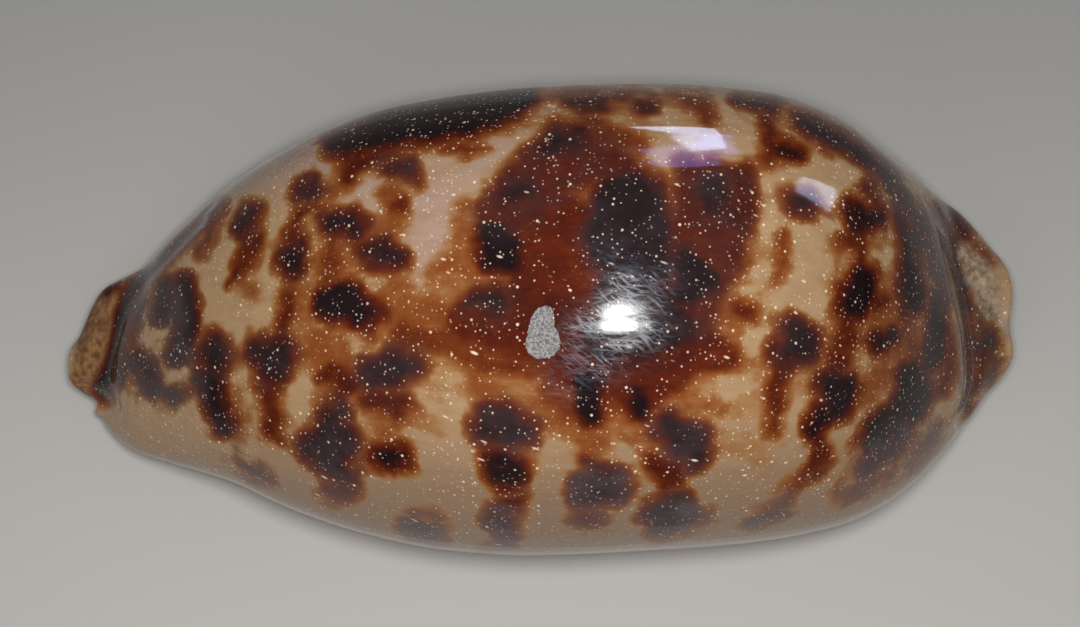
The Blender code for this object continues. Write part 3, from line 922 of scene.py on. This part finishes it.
    def inside_by(self, path: tuple[Dab, ...], smudged: bool = False) -> np.ndarray:
        """How far inside a brush stroke each point of the skin lies.

        Args:
            path: The stroke's dabs.
            smudged: Whether the stroke's outline wanders, as that of a blotch does.

        Returns:
            The depth in millimetres as the camera sees it, negative outside the stroke.
        """
        pixels = self.smudged if smudged else self.pixels
        dabs = np.array(path, float)
        depth = np.full(len(pixels), -1e3)
        for first, last in zip(dabs, dabs[1:]):
            along = last[:2] - first[:2]
            beside = pixels - first[:2]
            share = np.clip(beside @ along / float(along @ along), 0.0, 1.0)
            away = np.linalg.norm(beside - share[:, None] * along, axis=1)
            depth = np.maximum(depth, first[2] + (last[2] - first[2]) * share - away)
        return depth * self.camera.scale

    def softly(self, path: tuple[Dab, ...], soft: float) -> np.ndarray:
        """The weight of a brush stroke with a soft edge.

        Args:
            path: The stroke's dabs.
            soft: The width of the edge in millimetres.

        Returns:
            The weight at each point, 0 to 1.
        """
        return smooth_step(-0.5 * soft, 0.5 * soft, self.inside_by(path))

    def mark(self) -> None:
        """Works out every attribute that the glaze reads."""
        up = self.normals[:, 2]
        above = smooth_step(*BACK_SLOPES, up) * self.upwards(*BACK_HEIGHTS) * self.outside
        parts = {
            Part.BACK: above,
            Part.FACING: smooth_step(*FACING_SLOPES, up) * self.outside,
            Part.OUTSIDE: self.outside,
            Part.ALL: np.ones(len(self.points)),
        }
        self.smudge()
        self.keep("outside", self.outside)
        self.keep("above", above)
        self.mark_pigment(above)
        self.mark_sides(SpotRing())
        self.keep("flanks", smooth_step(*FLANK_SLOPES, up) * self.outside)
        # Where the painted shade and grey reflection of the columella's margin come in.
        self.keep("low", smooth_step(*LOW_ROWS, self.pixels[:, 1]) * above)
        self.keep("scar", np.clip(0.5 + self.inside_by(SCAR_PATH) / SCAR_EDGE, 0, 1) * above)
        for zone in ZONES:
            weights = [self.softly(path, zone.soft) for path in zone.paths]
            self.keep(zone.name, np.max(weights, axis=0) * parts[zone.part])

    def smudge(self) -> None:
        """Shifts where each point looks for the blotches, so that their outlines wander between the ends."""
        noise.seed_set(NOISE_SEED)
        shift = np.zeros((len(self.points), 2))
        for size, reach in WANDERS:
            for i, point in enumerate(self.points):
                wander = noise.noise_vector(Vector(point) / (size * MM))
                shift[i] += (wander.x * reach, wander.y * reach)
        column = self.pixels[:, 0]
        share = smooth_step(*CALM_ANTERIOR, column) * smooth_step(*CALM_POSTERIOR, column)
        self.smudged = self.pixels + shift * share[:, None]

    def mark_pigment(self, above: np.ndarray) -> None:
        """Lays every brush stroke with its wide soft edge.

        Args:
            above: How far each point belongs to the coloured back, 0 to 1.
        """
        total = np.zeros(len(self.points))
        haze_and_reflection = np.zeros(len(self.points))
        for stroke in ALL_MARKS:
            depth = self.inside_by(stroke.path, smudged=True)
            reach = EDGE_OUT + HAZY_OUT * stroke.haze_and_reflection
            share = np.clip((depth + reach) / (reach + EDGE_IN + stroke.haze_and_reflection), 0, 1)
            total += (stroke.tone.value * share**EDGE_POWER) ** JOIN_POWER
            haze_and_reflection = np.maximum(haze_and_reflection, stroke.haze_and_reflection * smooth_step(*HAZE_DEPTHS, depth))
            log.debug("%s: %s", stroke.name, stroke.tone.name)
        self.keep("pigment", np.minimum(total ** (1 / JOIN_POWER), MOST_PIGMENT) * above)
        # The milky grey over the strokes: the glaze's own haze, and painted grey reflection on a few strokes.
        self.keep("haze_and_reflection", haze_and_reflection * above)
        log.info("pigment: %d strokes", len(ALL_MARKS))

    def mark_sides(self, spots: SpotRing) -> None:
        """Scatters the faint spots low on the sides.

        Args:
            spots: Where they lie and how large they are.
        """
        sides = np.zeros(len(self.points))
        shifted = self.points.copy()
        shifted[:, 0] += spots.wander * MM * (self.smudged - self.pixels)[:, 0]
        shifted[:, 2] += spots.wander * MM * (self.smudged - self.pixels)[:, 1]
        for i in range(spots.count):
            turn = 2 * math.pi * (i + spots.stray * math.sin(5 * i)) / spots.count
            height = spots.height[0] + spots.height[1] * math.sin(7 * i)
            aim = Vector((spots.ring[0] * math.cos(turn), spots.ring[1] * math.sin(turn), height)) * MM
            spot, _, _, _ = self.tree.find_nearest(aim)
            away = np.linalg.norm(shifted - np.array(spot), axis=1) / MM
            reach = spots.reach[0] + spots.reach[1] * math.sin(3 * i)
            strength = spots.strength[0] + spots.strength[1] * math.sin(11 * i)
            sides = np.maximum(sides, strength * smooth_step(reach, spots.core * reach, away))
        self.keep("sides", sides * self.outside)

    def keep(self, name: str, values: np.ndarray) -> None:
        """Stores one number for each point of the skin.

        Args:
            name: The attribute's name, which the glaze reads.
            values: The numbers.
        """
        made = self.object.data.attributes.new(name, "FLOAT", "POINT")
        made.data.foreach_set("value", values.astype(np.float32))


class Wire:
    """A shader value that takes part in Python arithmetic, adding Math nodes as it does."""

    def __init__(self, graph: "Graph", socket: bpy.types.NodeSocket) -> None:
        """Wraps an output socket of a graph."""
        self.graph = graph
        self.socket = socket

    def math(self, operation: str, first: "Wire | float", second: "Wire | float") -> "Wire":
        """Adds one Math node.

        Args:
            operation: The node's operation.
            first: Its first value.
            second: Its second value.

        Returns:
            The node's result.
        """
        return self.graph.node("ShaderNodeMath", {"operation": operation}, {0: first, 1: second})

    def __add__(self, other: "Wire | float") -> "Wire":
        """The sum."""
        return self.math("ADD", self, other)

    def __radd__(self, other: float) -> "Wire":
        """The sum, the other way round."""
        return self.math("ADD", other, self)

    def __sub__(self, other: "Wire | float") -> "Wire":
        """The difference."""
        return self.math("SUBTRACT", self, other)

    def __rsub__(self, other: float) -> "Wire":
        """The difference, the other way round."""
        return self.math("SUBTRACT", other, self)

    def __mul__(self, other: "Wire | float") -> "Wire":
        """The product."""
        return self.math("MULTIPLY", self, other)

    def larger(self, other: "Wire | float") -> "Wire":
        """The larger of two values."""
        return self.math("MAXIMUM", self, other)

    def rise(self, low: float, high: float) -> "Wire":
        """Rises smoothly from 0 at low to 1 at high.

        Args:
            low: Where the rise starts.
            high: Where it ends. It may be less than low, for a fall.

        Returns:
            The share of the rise.
        """
        settings = {"interpolation_type": "SMOOTHSTEP", "clamp": True}
        if low < high:
            ends = {0: self, 1: low, 2: high, 3: 0.0, 4: 1.0}
        else:
            ends = {0: self, 1: high, 2: low, 3: 1.0, 4: 0.0}
        return self.graph.node("ShaderNodeMapRange", settings, ends)


class Graph:
    """The node tree of a material or of the world."""

    def __init__(self, owner: bpy.types.Material | bpy.types.World) -> None:
        """Empties the owner's tree.

        Args:
            owner: The material or the world.
        """
        owner.use_nodes = True
        self.tree = owner.node_tree
        self.tree.nodes.clear()

    def add(self, kind: str, settings: dict, values: dict) -> bpy.types.Node:
        """Adds one node. Every node of the tree comes from here.

        Args:
            kind: The node's type.
            settings: Its properties, set before its sockets are used.
            values: Its sockets' values or wires, by name or number.

        Returns:
            The node.
        """
        made = self.tree.nodes.new(kind)
        for name, value in settings.items():
            if name == "stops":
                self.set_stops(made.color_ramp, value)
            else:
                setattr(made, name, value)
        for name, value in values.items():
            self.put(made.inputs[name], value)
        return made

    def node(self, kind: str, settings: dict, values: dict, output: int | str = 0) -> Wire:
        """Adds one node and takes one of its outputs."""
        return Wire(self, self.add(kind, settings, values).outputs[output])

    def put(self, socket: bpy.types.NodeSocket, value: "Wire | float | tuple") -> None:
        """Links a wire to a socket, or sets the socket's own value.

        Args:
            socket: The socket.
            value: The wire, number or colour for it.
        """
        if isinstance(value, Wire):
            self.tree.links.new(value.socket, socket)
        elif isinstance(value, tuple) and socket.type == "RGBA":
            socket.default_value = (*value, 1.0)
        else:
            socket.default_value = value

    def set_stops(self, ramp: bpy.types.ColorRamp, stops: tuple[tuple[float, Colour], ...]) -> None:
        """Gives a colour ramp its stops.

        Args:
            ramp: The ramp.
            stops: Each stop's place and colour, in order.
        """
        while len(ramp.elements) < len(stops):
            ramp.elements.new(1.0)
        for element, (place, colour) in zip(ramp.elements, stops):
            element.position = place
            element.color = (*colour, 1.0)

    def attribute(self, name: str) -> Wire:
        """Reads one of the skin's attributes."""
        return self.node("ShaderNodeAttribute", {"attribute_name": name}, {}, "Fac")

    def place(self, stretch: tuple[float, float, float] = (1.0, 1.0, 1.0), turn: float = 0.0) -> Wire:
        """The point on the shell in millimetres, turned about Z, then scaled along each axis.

        Args:
            stretch: How much finer the pattern is along each axis.
            turn: The turn in radians.

        Returns:
            The scaled point.
        """
        here = self.node("ShaderNodeTexCoord", {}, {}, "Object")
        if turn:
            values = {"Vector": here, "Angle": turn}
            here = self.node("ShaderNodeVectorRotate", {"rotation_type": "Z_AXIS"}, values)
        scale = tuple(value / MM for value in stretch)
        return self.node("ShaderNodeVectorMath", {"operation": "MULTIPLY"}, {0: here, 1: scale})

    def noise(
        self,
        size: float,
        detail: float,
        stretch: tuple[float, float, float] = (1.0, 1.0, 1.0),
        turn: float = 0.0,
    ) -> Wire:
        """Cloudy noise about 0.5.

        Args:
            size: The size of its lumps in millimetres.
            detail: How many finer layers it has.
            stretch: How much finer it is along each axis.
            turn: How far the pattern is turned about Z, in radians.

        Returns:
            The noise, 0 to 1.
        """
        place = self.place(stretch, turn)
        values = {"Vector": place, "Scale": 1.0 / size, "Detail": detail, "Roughness": 0.55}
        return self.node("ShaderNodeTexNoise", {}, values, "Fac")

    def blend(self, share: Wire | float, low: "Wire | Colour", high: "Wire | Colour") -> Wire:
        """Mixes two colours.

        Args:
            share: How much of the second colour there is, 0 to 1.
            low: The first colour.
            high: The second colour.

        Returns:
            The mixed colour.
        """
        return self.node("ShaderNodeMix", {"data_type": "RGBA"}, {0: share, 6: low, 7: high}, 2)


@dataclass(frozen=True)
class Glaze:
    """The cowrie's glaze: its colours as the photograph shows them, and how glossy it is.

    Attributes:
        pink: The pale ground of the left part.
        tan: The pale ground elsewhere.
        flank: The greyer, darker colour towards the columella's margin: painted shade and painted grey
            reflection over the ground.
        stops: The pigment's colours, from the least to the most.
        milk_and_reflection: The violet grey of a hazy glaze, and of the painted grey reflection on a few
            strokes.
        low_milk_and_reflection: The same, lighter lower on the columella's flank, where it is painted grey
            reflection.
        side: The colour of the sides under the blotches.
        base: The colour of the underside.
        speck: The colour of the fine specks.
        streak: The fine growth lines of the ground.
        spot_rim: The rim of the sides' faint spots.
        spot: The middle of those spots.
        chamber: The inside of the shell.
        lobe_dark: The darker grain of the anterior lobe.
        lobe_tan: Its paler grain.
        cream_dark: The darker grain of the posterior lobe.
        cream: Its paler grain.
        rim: The painted pale reflection along the edge of the collar and of the overlapping lobe.
        scratch: The painted bluish sheen of the fine scratches round the highlight.
        scar_dark: The darker grain of the scar.
        scar_pale: Its paler grain.
        gloss: The roughness of the polished back.
        scratch_rough: How much rougher a scratch is.
        worn_rough: How much rougher the worn halo is.
        lobe_rough: How much rougher the lobes are.
        base_rough: How much rougher the base is.
        scar_rough: How much rougher the scar is.
        index: The glaze's index of refraction.
        large_specks: The spacing and the largest radius of the large specks, in millimetres.
        small_specks: Those of the small specks.
        dashes: Those of the dashed specks.
        dash_turn: Which way the dashes run, in radians.
        speck_edge: The width of a speck's soft edge in millimetres.
        hair_runs: The spacing of each run of scratches in millimetres, and which way it runs in radians.
        wave: The height of the glaze's faint waves in millimetres.
        lobe_grain: The height of the lobes' grain.
        scar_grain: The height of the scar's grain.
    """

    pink: Colour = linear(164, 138, 122)
    tan: Colour = linear(167, 139, 106)
    flank: Colour = linear(134, 110, 92)
    stops: tuple[tuple[float, Colour], ...] = (
        (0.0, linear(160, 126, 92)),
        (0.14, linear(150, 108, 66)),
        (0.3, linear(130, 74, 35)),
        (0.44, linear(107, 50, 18)),
        (0.57, linear(86, 30, 11)),
        (0.7, linear(56, 20, 15)),
        (0.84, linear(30, 15, 17)),
    )
    milk_and_reflection: Colour = linear(64, 55, 58)
    low_milk_and_reflection: Colour = linear(88, 80, 82)
    side: Colour = linear(148, 124, 102)
    base: Colour = linear(196, 172, 148)
    speck: Colour = linear(228, 208, 184)
    streak: Colour = linear(140, 110, 84)
    spot_rim: Colour = linear(126, 82, 50)
    spot: Colour = linear(74, 50, 42)
    chamber: Colour = linear(196, 176, 160)
    lobe_dark: Colour = linear(96, 66, 40)
    lobe_tan: Colour = linear(144, 106, 70)
    cream_dark: Colour = linear(112, 92, 68)
    cream: Colour = linear(164, 146, 120)
    rim: Colour = linear(132, 122, 114)
    scratch: Colour = linear(140, 152, 168)
    scar_dark: Colour = linear(84, 80, 80)
    scar_pale: Colour = linear(150, 146, 144)
    gloss: float = 0.08
    scratch_rough: float = 0.26
    worn_rough: float = 0.05
    lobe_rough: float = 0.4
    base_rough: float = 0.2
    scar_rough: float = 0.5
    index: float = 1.43
    large_specks: tuple[float, float] = (1.15, 0.175)
    small_specks: tuple[float, float] = (0.52, 0.11)
    dashes: tuple[float, float] = (1.6, 0.16)
    dash_turn: float = 0.35
    speck_edge: float = 0.06
    hair_runs: tuple[tuple[float, float], ...] = ((0.28, 0.7), (0.3, 0.12), (0.34, -0.35))
    wave: float = 0.012
    lobe_grain: float = 0.12
    scar_grain: float = 0.1

    def build(self) -> bpy.types.Material:
        """Builds the whole material.

        Returns:
            The material.
        """
        material = bpy.data.materials.new("cowrie_glaze")
        graph = Graph(material)
        values = {
            "Base Color": self.colour(graph, self.pigment(graph)),
            "Roughness": self.roughness(graph),
            "IOR": self.index,
            "Normal": self.relief(graph),
        }
        shader = graph.node("ShaderNodeBsdfPrincipled", {}, values)
        graph.add("ShaderNodeOutputMaterial", {}, {"Surface": shader})
        return material

    def pigment(self, graph: Graph) -> Wire:
        """The pigment with the grain of its edges.

        Args:
            graph: The material's graph.

        Returns:
            The amount of pigment, 0 to 1.
        """
        amount = graph.attribute("pigment")
        edge = amount * (1.0 - amount)
        cloud = graph.noise(2.2, 3.0) - 0.5
        grain = graph.noise(0.5, 2.0, (0.5, 1.0, 1.0)) - 0.5
        streak = graph.noise(0.9, 3.0, (0.12, 1.0, 1.0)) - 0.5
        depth = graph.noise(1.3, 4.0).rise(0.3, 0.7) * amount.rise(0.5, 0.9) * 0.14
        thin = graph.noise(3.0, 4.0, (0.6, 1.0, 1.0)).rise(0.42, 0.7) * amount.rise(0.5, 0.2) * 0.16
        return amount - depth - thin + edge * (cloud * 0.9 + grain * 0.35) + (edge + 0.05) * streak * 0.45

    def colour(self, graph: Graph, amount: Wire) -> Wire:
        """The colour of every part of the surface.

        Args:
            graph: The material's graph.
            amount: The pigment.

        Returns:
            The colour.
        """
        ground = graph.blend(graph.attribute("pink"), self.tan, self.pink)
        streak = graph.noise(1.2, 4.0, (0.1, 1.0, 1.0))
        ground = graph.blend(streak.rise(0.35, 0.75) * 0.35, ground, self.streak)
        # Painted shade and painted grey reflection: the ground turns greyer and darker towards the columella's
        # margin.
        ground = graph.blend(graph.attribute("low") * 0.75, ground, self.flank)
        ramp = graph.node("ShaderNodeValToRGB", {"stops": self.stops}, {"Fac": amount}, "Color")
        colour = graph.blend(amount.rise(0.02, 0.22), ground, ramp)
        # Violet grey over hazed strokes: the glaze's own haze, and painted grey reflection, lighter towards
        # the columella's margin.
        milk_and_reflection = graph.blend(graph.attribute("low"), self.milk_and_reflection, self.low_milk_and_reflection)
        smoke = graph.noise(2.4, 4.0, (0.6, 1.0, 1.0)).rise(0.35, 0.65) * 0.5 + 0.45
        colour = graph.blend(graph.attribute("haze_and_reflection") * amount.rise(0.02, 0.36) * smoke, colour, milk_and_reflection)
        colour = self.underside(graph, colour)
        colour = self.ends(graph, colour)
        colour = self.specks(graph, colour)
        # Painted bluish sheen: the scratches round the highlight are tinted lighter and bluer.
        colour = graph.blend(self.scratches(graph) * 0.3, colour, self.scratch)
        dust = graph.noise(0.25, 3.0).rise(0.3, 0.7)
        return graph.blend(self.scar(graph), colour, graph.blend(dust, self.scar_dark, self.scar_pale))

    def underside(self, graph: Graph, colour: Wire) -> Wire:
        """Fades the back's colours into the pale sides, the base and the chamber.

        Args:
            graph: The material's graph.
            colour: The back's colour.

        Returns:
            The colour with the underside.
        """
        above = graph.attribute("above")
        cloud = graph.noise(5.0, 4.0) - 0.5
        below = graph.blend((graph.attribute("flanks") + cloud * 0.3).rise(0.05, 0.95), self.base, self.side)
        spots = graph.attribute("sides") + (graph.noise(1.6, 3.0) - 0.5) * 0.4
        below = graph.blend(spots.rise(0.05, 0.4) * 0.6, below, self.spot_rim)
        below = graph.blend(spots.rise(0.3, 0.75) * 0.8, below, self.spot)
        colour = graph.blend((above + cloud * 0.3).rise(0.05, 0.95), below, colour)
        return graph.blend(1.0 - graph.attribute("outside"), colour, self.chamber)

    def ends(self, graph: Graph, colour: Wire) -> Wire:
        """Lays the matt lobes of both ends over the colours, and the painted pale reflection lines of the
        rims.

        Args:
            graph: The material's graph.
            colour: The colour so far.

        Returns:
            The colour with the lobes.
        """
        grain = graph.noise(0.8, 4.0)
        tan = graph.blend(grain.rise(0.3, 0.7), self.lobe_dark, self.lobe_tan)
        cream = graph.blend(grain.rise(0.3, 0.7), self.cream_dark, self.cream)
        kept = 1.0 - graph.attribute("pigment").rise(0.3, 0.7)
        colour = graph.blend(graph.attribute("anterior_lobe") * kept, colour, tan)
        colour = graph.blend(graph.attribute("posterior_lobe") * kept, colour, cream)
        # Painted pale reflection lines along the collar and the overlapping lobe's edge.
        return graph.blend(graph.attribute("rims") * 0.7, colour, self.rim)

    def specks(self, graph: Graph, colour: Wire) -> Wire:
        """Dusts the back with its fine pale specks.

        Args:
            graph: The material's graph.
            colour: The colour so far.

        Returns:
            The colour with the specks.
        """
        crowd = graph.noise(3.2, 3.0)
        many = graph.attribute("specks") * 0.4 + crowd.rise(0.4, 0.62) * 0.8 - graph.attribute("wear") * 0.35
        large = self.dots(graph, *self.large_specks, many)
        small = self.dots(graph, *self.small_specks, many * 0.95) * 0.85
        few = graph.attribute("specks") * 0.75
        dashes = self.dots(graph, *self.dashes, few, (0.3, 1.0, 1.0), self.dash_turn)
        clear = 1.0 - self.lobes(graph)
        share = large.larger(small).larger(dashes) * graph.attribute("above").rise(0.5, 0.9) * clear
        return graph.blend(share * 0.85, colour, self.speck)

    def lobes(self, graph: Graph) -> Wire:
        """Both matt lobes."""
        return graph.attribute("anterior_lobe").larger(graph.attribute("posterior_lobe"))

    def dots(
        self,
        graph: Graph,
        spacing: float,
        radius: float,
        many: Wire,
        stretch: tuple[float, float, float] = (1.0, 1.0, 1.0),
        turn: float = 0.0,
    ) -> Wire:
        """Dots of uneven size, one in each cell that has one: round, or dashes where they are stretched.

        Args:
            graph: The material's graph.
            spacing: The size of a cell in millimetres.
            radius: The largest dot's radius in millimetres.
            many: How crowded the dots are, 0 to 1.
            stretch: How much finer they are along each axis.
            turn: How far they are turned about Z, in radians.

        Returns:
            The dots' weight.
        """
        values = {"Vector": graph.place(stretch, turn), "Scale": 1.0 / spacing}
        cells = graph.add("ShaderNodeTexVoronoi", {}, values)
        away = Wire(graph, cells.outputs["Distance"])
        chance = graph.node("ShaderNodeSeparateColor", {}, {0: Wire(graph, cells.outputs["Color"])})
        grown = chance * 0.6 + 0.4
        reach = grown * (many + chance - 0.45).rise(0.0, 0.5) * (radius / spacing)
        edge = self.speck_edge / spacing
        return (away - reach).rise(edge, -edge) * grown

    def scratches(self, graph: Graph) -> Wire:
        """The fine scratches round the highlight, running three ways, the last one faint.

        Args:
            graph: The material's graph.

        Returns:
            Their weight.
        """
        wear = graph.attribute("wear")
        along, across, curl = (self.hairs(graph, size, turn) for size, turn in self.hair_runs)
        cloud = graph.noise(3.0, 3.0).rise(0.3, 0.65) * 0.8 + 0.2
        return wear * along.larger(across).larger(curl * 0.5) * cloud

    def hairs(self, graph: Graph, size: float, turn: float) -> Wire:
        """Wavy hair-fine streaks that run one way.

        Args:
            graph: The material's graph.
            size: Their spacing in millimetres.
            turn: Which way they run, in radians.

        Returns:
            Their weight.
        """
        place = graph.place((0.14, 1.0, 1.0), turn)
        values = {"Vector": place, "Scale": 1 / size, "Detail": 3.0, "Distortion": 0.6}
        return graph.node("ShaderNodeTexNoise", {}, values, "Fac").rise(0.46, 0.7)

    def scar(self, graph: Graph) -> Wire:
        """The worn dull patch beside the highlight."""
        edge = graph.noise(1.1, 3.0) - 0.5
        return (graph.attribute("scar") + edge * 0.5).rise(0.46, 0.54)

    def roughness(self, graph: Graph) -> Wire:
        """How rough each part is: polished, but for the worn halo, the scar, the lobes and the base.

        Args:
            graph: The material's graph.

        Returns:
            The roughness.
        """
        worn = self.scratches(graph) * self.scratch_rough + graph.attribute("wear") * self.worn_rough
        ends = self.lobes(graph) * self.lobe_rough
        below = (1.0 - graph.attribute("above")) * self.base_rough
        return self.gloss + worn + ends + below + self.scar(graph) * self.scar_rough

    def relief(self, graph: Graph) -> Wire:
        """The fine relief: faint waves of the glaze, grainy lobes and the rough scar.

        Args:
            graph: The material's graph.

        Returns:
            The normal.
        """
        wave = graph.noise(3.5, 2.0, (0.5, 1.0, 1.0)) * self.wave
        grain = graph.noise(0.45, 3.0)
        rough = self.lobes(graph) * grain * self.lobe_grain
        height = wave + rough + self.scar(graph) * (grain * self.scar_grain - self.scar_grain / 2)
        return graph.node("ShaderNodeBump", {}, {"Strength": 1.0, "Distance": MM, "Height": height})


@dataclass(frozen=True)
class Window:
    """A light that shows in the photograph as a reflection on the shell.

    Attributes:
        name: The light's name.
        pixel: Where its reflection shows, as the photograph's column and row.
        size: Its width and height in metres.
        away: How far from the shell it stands, in metres.
        glow: How bright its face is.
        turn: How far it is turned about the way it faces, in radians.
        colour: The colour of its light.
    """

    name: str
    pixel: tuple[float, float]
    size: tuple[float, float]
    away: float
    glow: float
    turn: float = 0.0
    colour: Colour = (0.56, 0.7, 1.0)


LAMP = Window("lamp", (618, 326), (0.062, 0.052), 0.252, 84.0, colour=(1.0, 1.0, 1.0))
WINDOWS: tuple[Window, ...] = (
    Window("window", (694, 130), (0.1, 0.26), 0.5, 14.0, 0.5),
    Window("violet_window", (703, 151), (0.08, 0.15), 0.42, 6.0, -0.95, (0.3, 0.34, 1.0)),
    Window("far_window", (818, 190), (0.14, 0.08), 0.5, 9.0, 0.4),
)


@dataclass(frozen=True)
class Studio:
    """The pale floor, with painted light across it, and the soft lights.

    Attributes:
        skin: The dressed shell, whose reflections place the lights.
        floor_size: The floor's side in metres.
        floor_far_shade: The floor's colour beyond the outer lip, darker as painted shade.
        floor_near_light: Its colour on the near side, lighter as painted light.
        floor_fade: How far from the middle each colour is reached, in millimetres.
        floor_rough: The floor's roughness.
        room: The brightness of the room about the horizon.
        overhead: Its brightness overhead.
        room_colour: The tint of its light.
        horizon: How high the room starts to grow brighter, as a share of the way up.
        fill_place: Where the soft light of the near side stands, in metres.
        fill_back: The way its back faces.
        fill_size: Its width in metres.
        fill_energy: Its power in watts.
        gamma: The picture's gamma.
    """

    skin: Skin
    floor_size: float = 3.0
    floor_far_shade: Colour = linear(140, 139, 137)
    floor_near_light: Colour = linear(186, 183, 178)
    floor_fade: float = 75.0
    floor_rough: float = 0.9
    room: float = 0.1
    overhead: float = 0.22
    room_colour: Colour = (0.96, 0.98, 1.0)
    horizon: float = 0.3
    fill_place: tuple[float, float, float] = (-0.12, -0.2, 0.26)
    fill_back: tuple[float, float, float] = (-0.12, -0.2, 0.24)
    fill_size: float = 0.24
    fill_energy: float = 0.12
    gamma: float = 0.9

    def build(self) -> None:
        """Makes the floor, the room and the lights."""
        self.make_floor()
        self.make_room()
        self.hang(LAMP).data.shape = "ELLIPSE"
        for window in WINDOWS:
            self.hang(window).visible_diffuse = False
        self.make_fill()
        bpy.context.scene.view_settings.view_transform = "Standard"
        bpy.context.scene.view_settings.gamma = self.gamma

    def make_floor(self) -> None:
        """Lays a pale floor under the shell, with painted light: lighter on the near side, darker beyond the
        outer lip.
        """
        bpy.ops.mesh.primitive_plane_add(size=self.floor_size, location=(0.0, 0.0, 0.0))
        floor = bpy.context.object
        floor.name = "floor"
        material = bpy.data.materials.new("floor_paper")
        graph = Graph(material)
        there = graph.node("ShaderNodeSeparateXYZ", {}, {0: graph.place()}, "Y")
        # Painted light on the floor: lighter on the near side, darker beyond the outer lip.
        colour = graph.blend(there.rise(self.floor_fade, -self.floor_fade), self.floor_far_shade, self.floor_near_light)
        values = {"Base Color": colour, "Roughness": self.floor_rough, "Specular IOR Level": 0.0}
        shader = graph.node("ShaderNodeBsdfPrincipled", {}, values)
        graph.add("ShaderNodeOutputMaterial", {}, {"Surface": shader})
        floor.data.materials.append(material)
        log.info("floor: %.1f m wide", self.floor_size)

    def make_room(self) -> None:
        """Fills the room with a soft light that comes mostly from above."""
        world = bpy.data.worlds.new("room")
        bpy.context.scene.world = world
        graph = Graph(world)
        here = graph.node("ShaderNodeTexCoord", {}, {}, "Generated")
        height = graph.node("ShaderNodeSeparateXYZ", {}, {0: here}, "Z")
        low = self.room_colour
        high = tuple(part * self.overhead / self.room for part in low)
        stops = ((self.horizon, low), (1.0, high))
        glow = graph.node("ShaderNodeValToRGB", {"stops": stops}, {"Fac": height}, "Color")
        light = graph.node("ShaderNodeBackground", {}, {"Color": glow, "Strength": self.room})
        graph.add("ShaderNodeOutputWorld", {}, {"Surface": light})

    def hang(self, window: Window) -> bpy.types.Object:
        """Puts a light where the shell mirrors it at its pixel of the photograph.

        Args:
            window: The light.

        Returns:
            The light's object.
        """
        point, normal = self.skin.surface_at(*window.pixel)
        aim = self.skin.camera.ray(*window.pixel).reflect(normal)
        bpy.ops.object.light_add(type="AREA", location=point + aim * window.away)
        light = bpy.context.object
        light.name = window.name
        light.rotation_euler = aim.to_track_quat("Z", "Y").to_euler()
        if window.turn:
            light.rotation_euler.rotate_axis("Z", window.turn)
        light.data.shape = "RECTANGLE"
        light.data.size, light.data.size_y = window.size
        light.data.energy = window.glow * window.size[0] * window.size[1] * math.pi
        light.data.color = window.colour
        log.info("%s: at %s mm", window.name, [round(v / MM) for v in light.location])
        return light

    def make_fill(self) -> None:
        """Adds the soft light of the near side, which lightens the columella's flank and the floor there."""
        bpy.ops.object.light_add(type="AREA", location=self.fill_place)
        light = bpy.context.object
        light.name = "fill"
        light.rotation_euler = Vector(self.fill_back).to_track_quat("Z", "Y").to_euler()
        light.data.shape = "DISK"
        light.data.size = self.fill_size
        light.data.energy = self.fill_energy
        light.visible_glossy = False
        log.info("fill: %.2f m wide", self.fill_size)


def main() -> None:
    """Dresses the shell and lights it."""
    logging.basicConfig(level=logging.INFO, format="%(name)s: %(message)s")
    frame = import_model()
    camera = PhotoCamera()
    camera.build()
    skin = Skin(frame["nodes"]["shell"], camera)
    piece = skin.build()
    piece.data.materials.clear()
    piece.data.materials.append(Glaze().build())
    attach(piece, "root")
    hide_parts("shell")
    log.info("skin: %d faces", len(piece.data.polygons))
    Studio(skin).build()


if __name__ == "__main__":
    main()
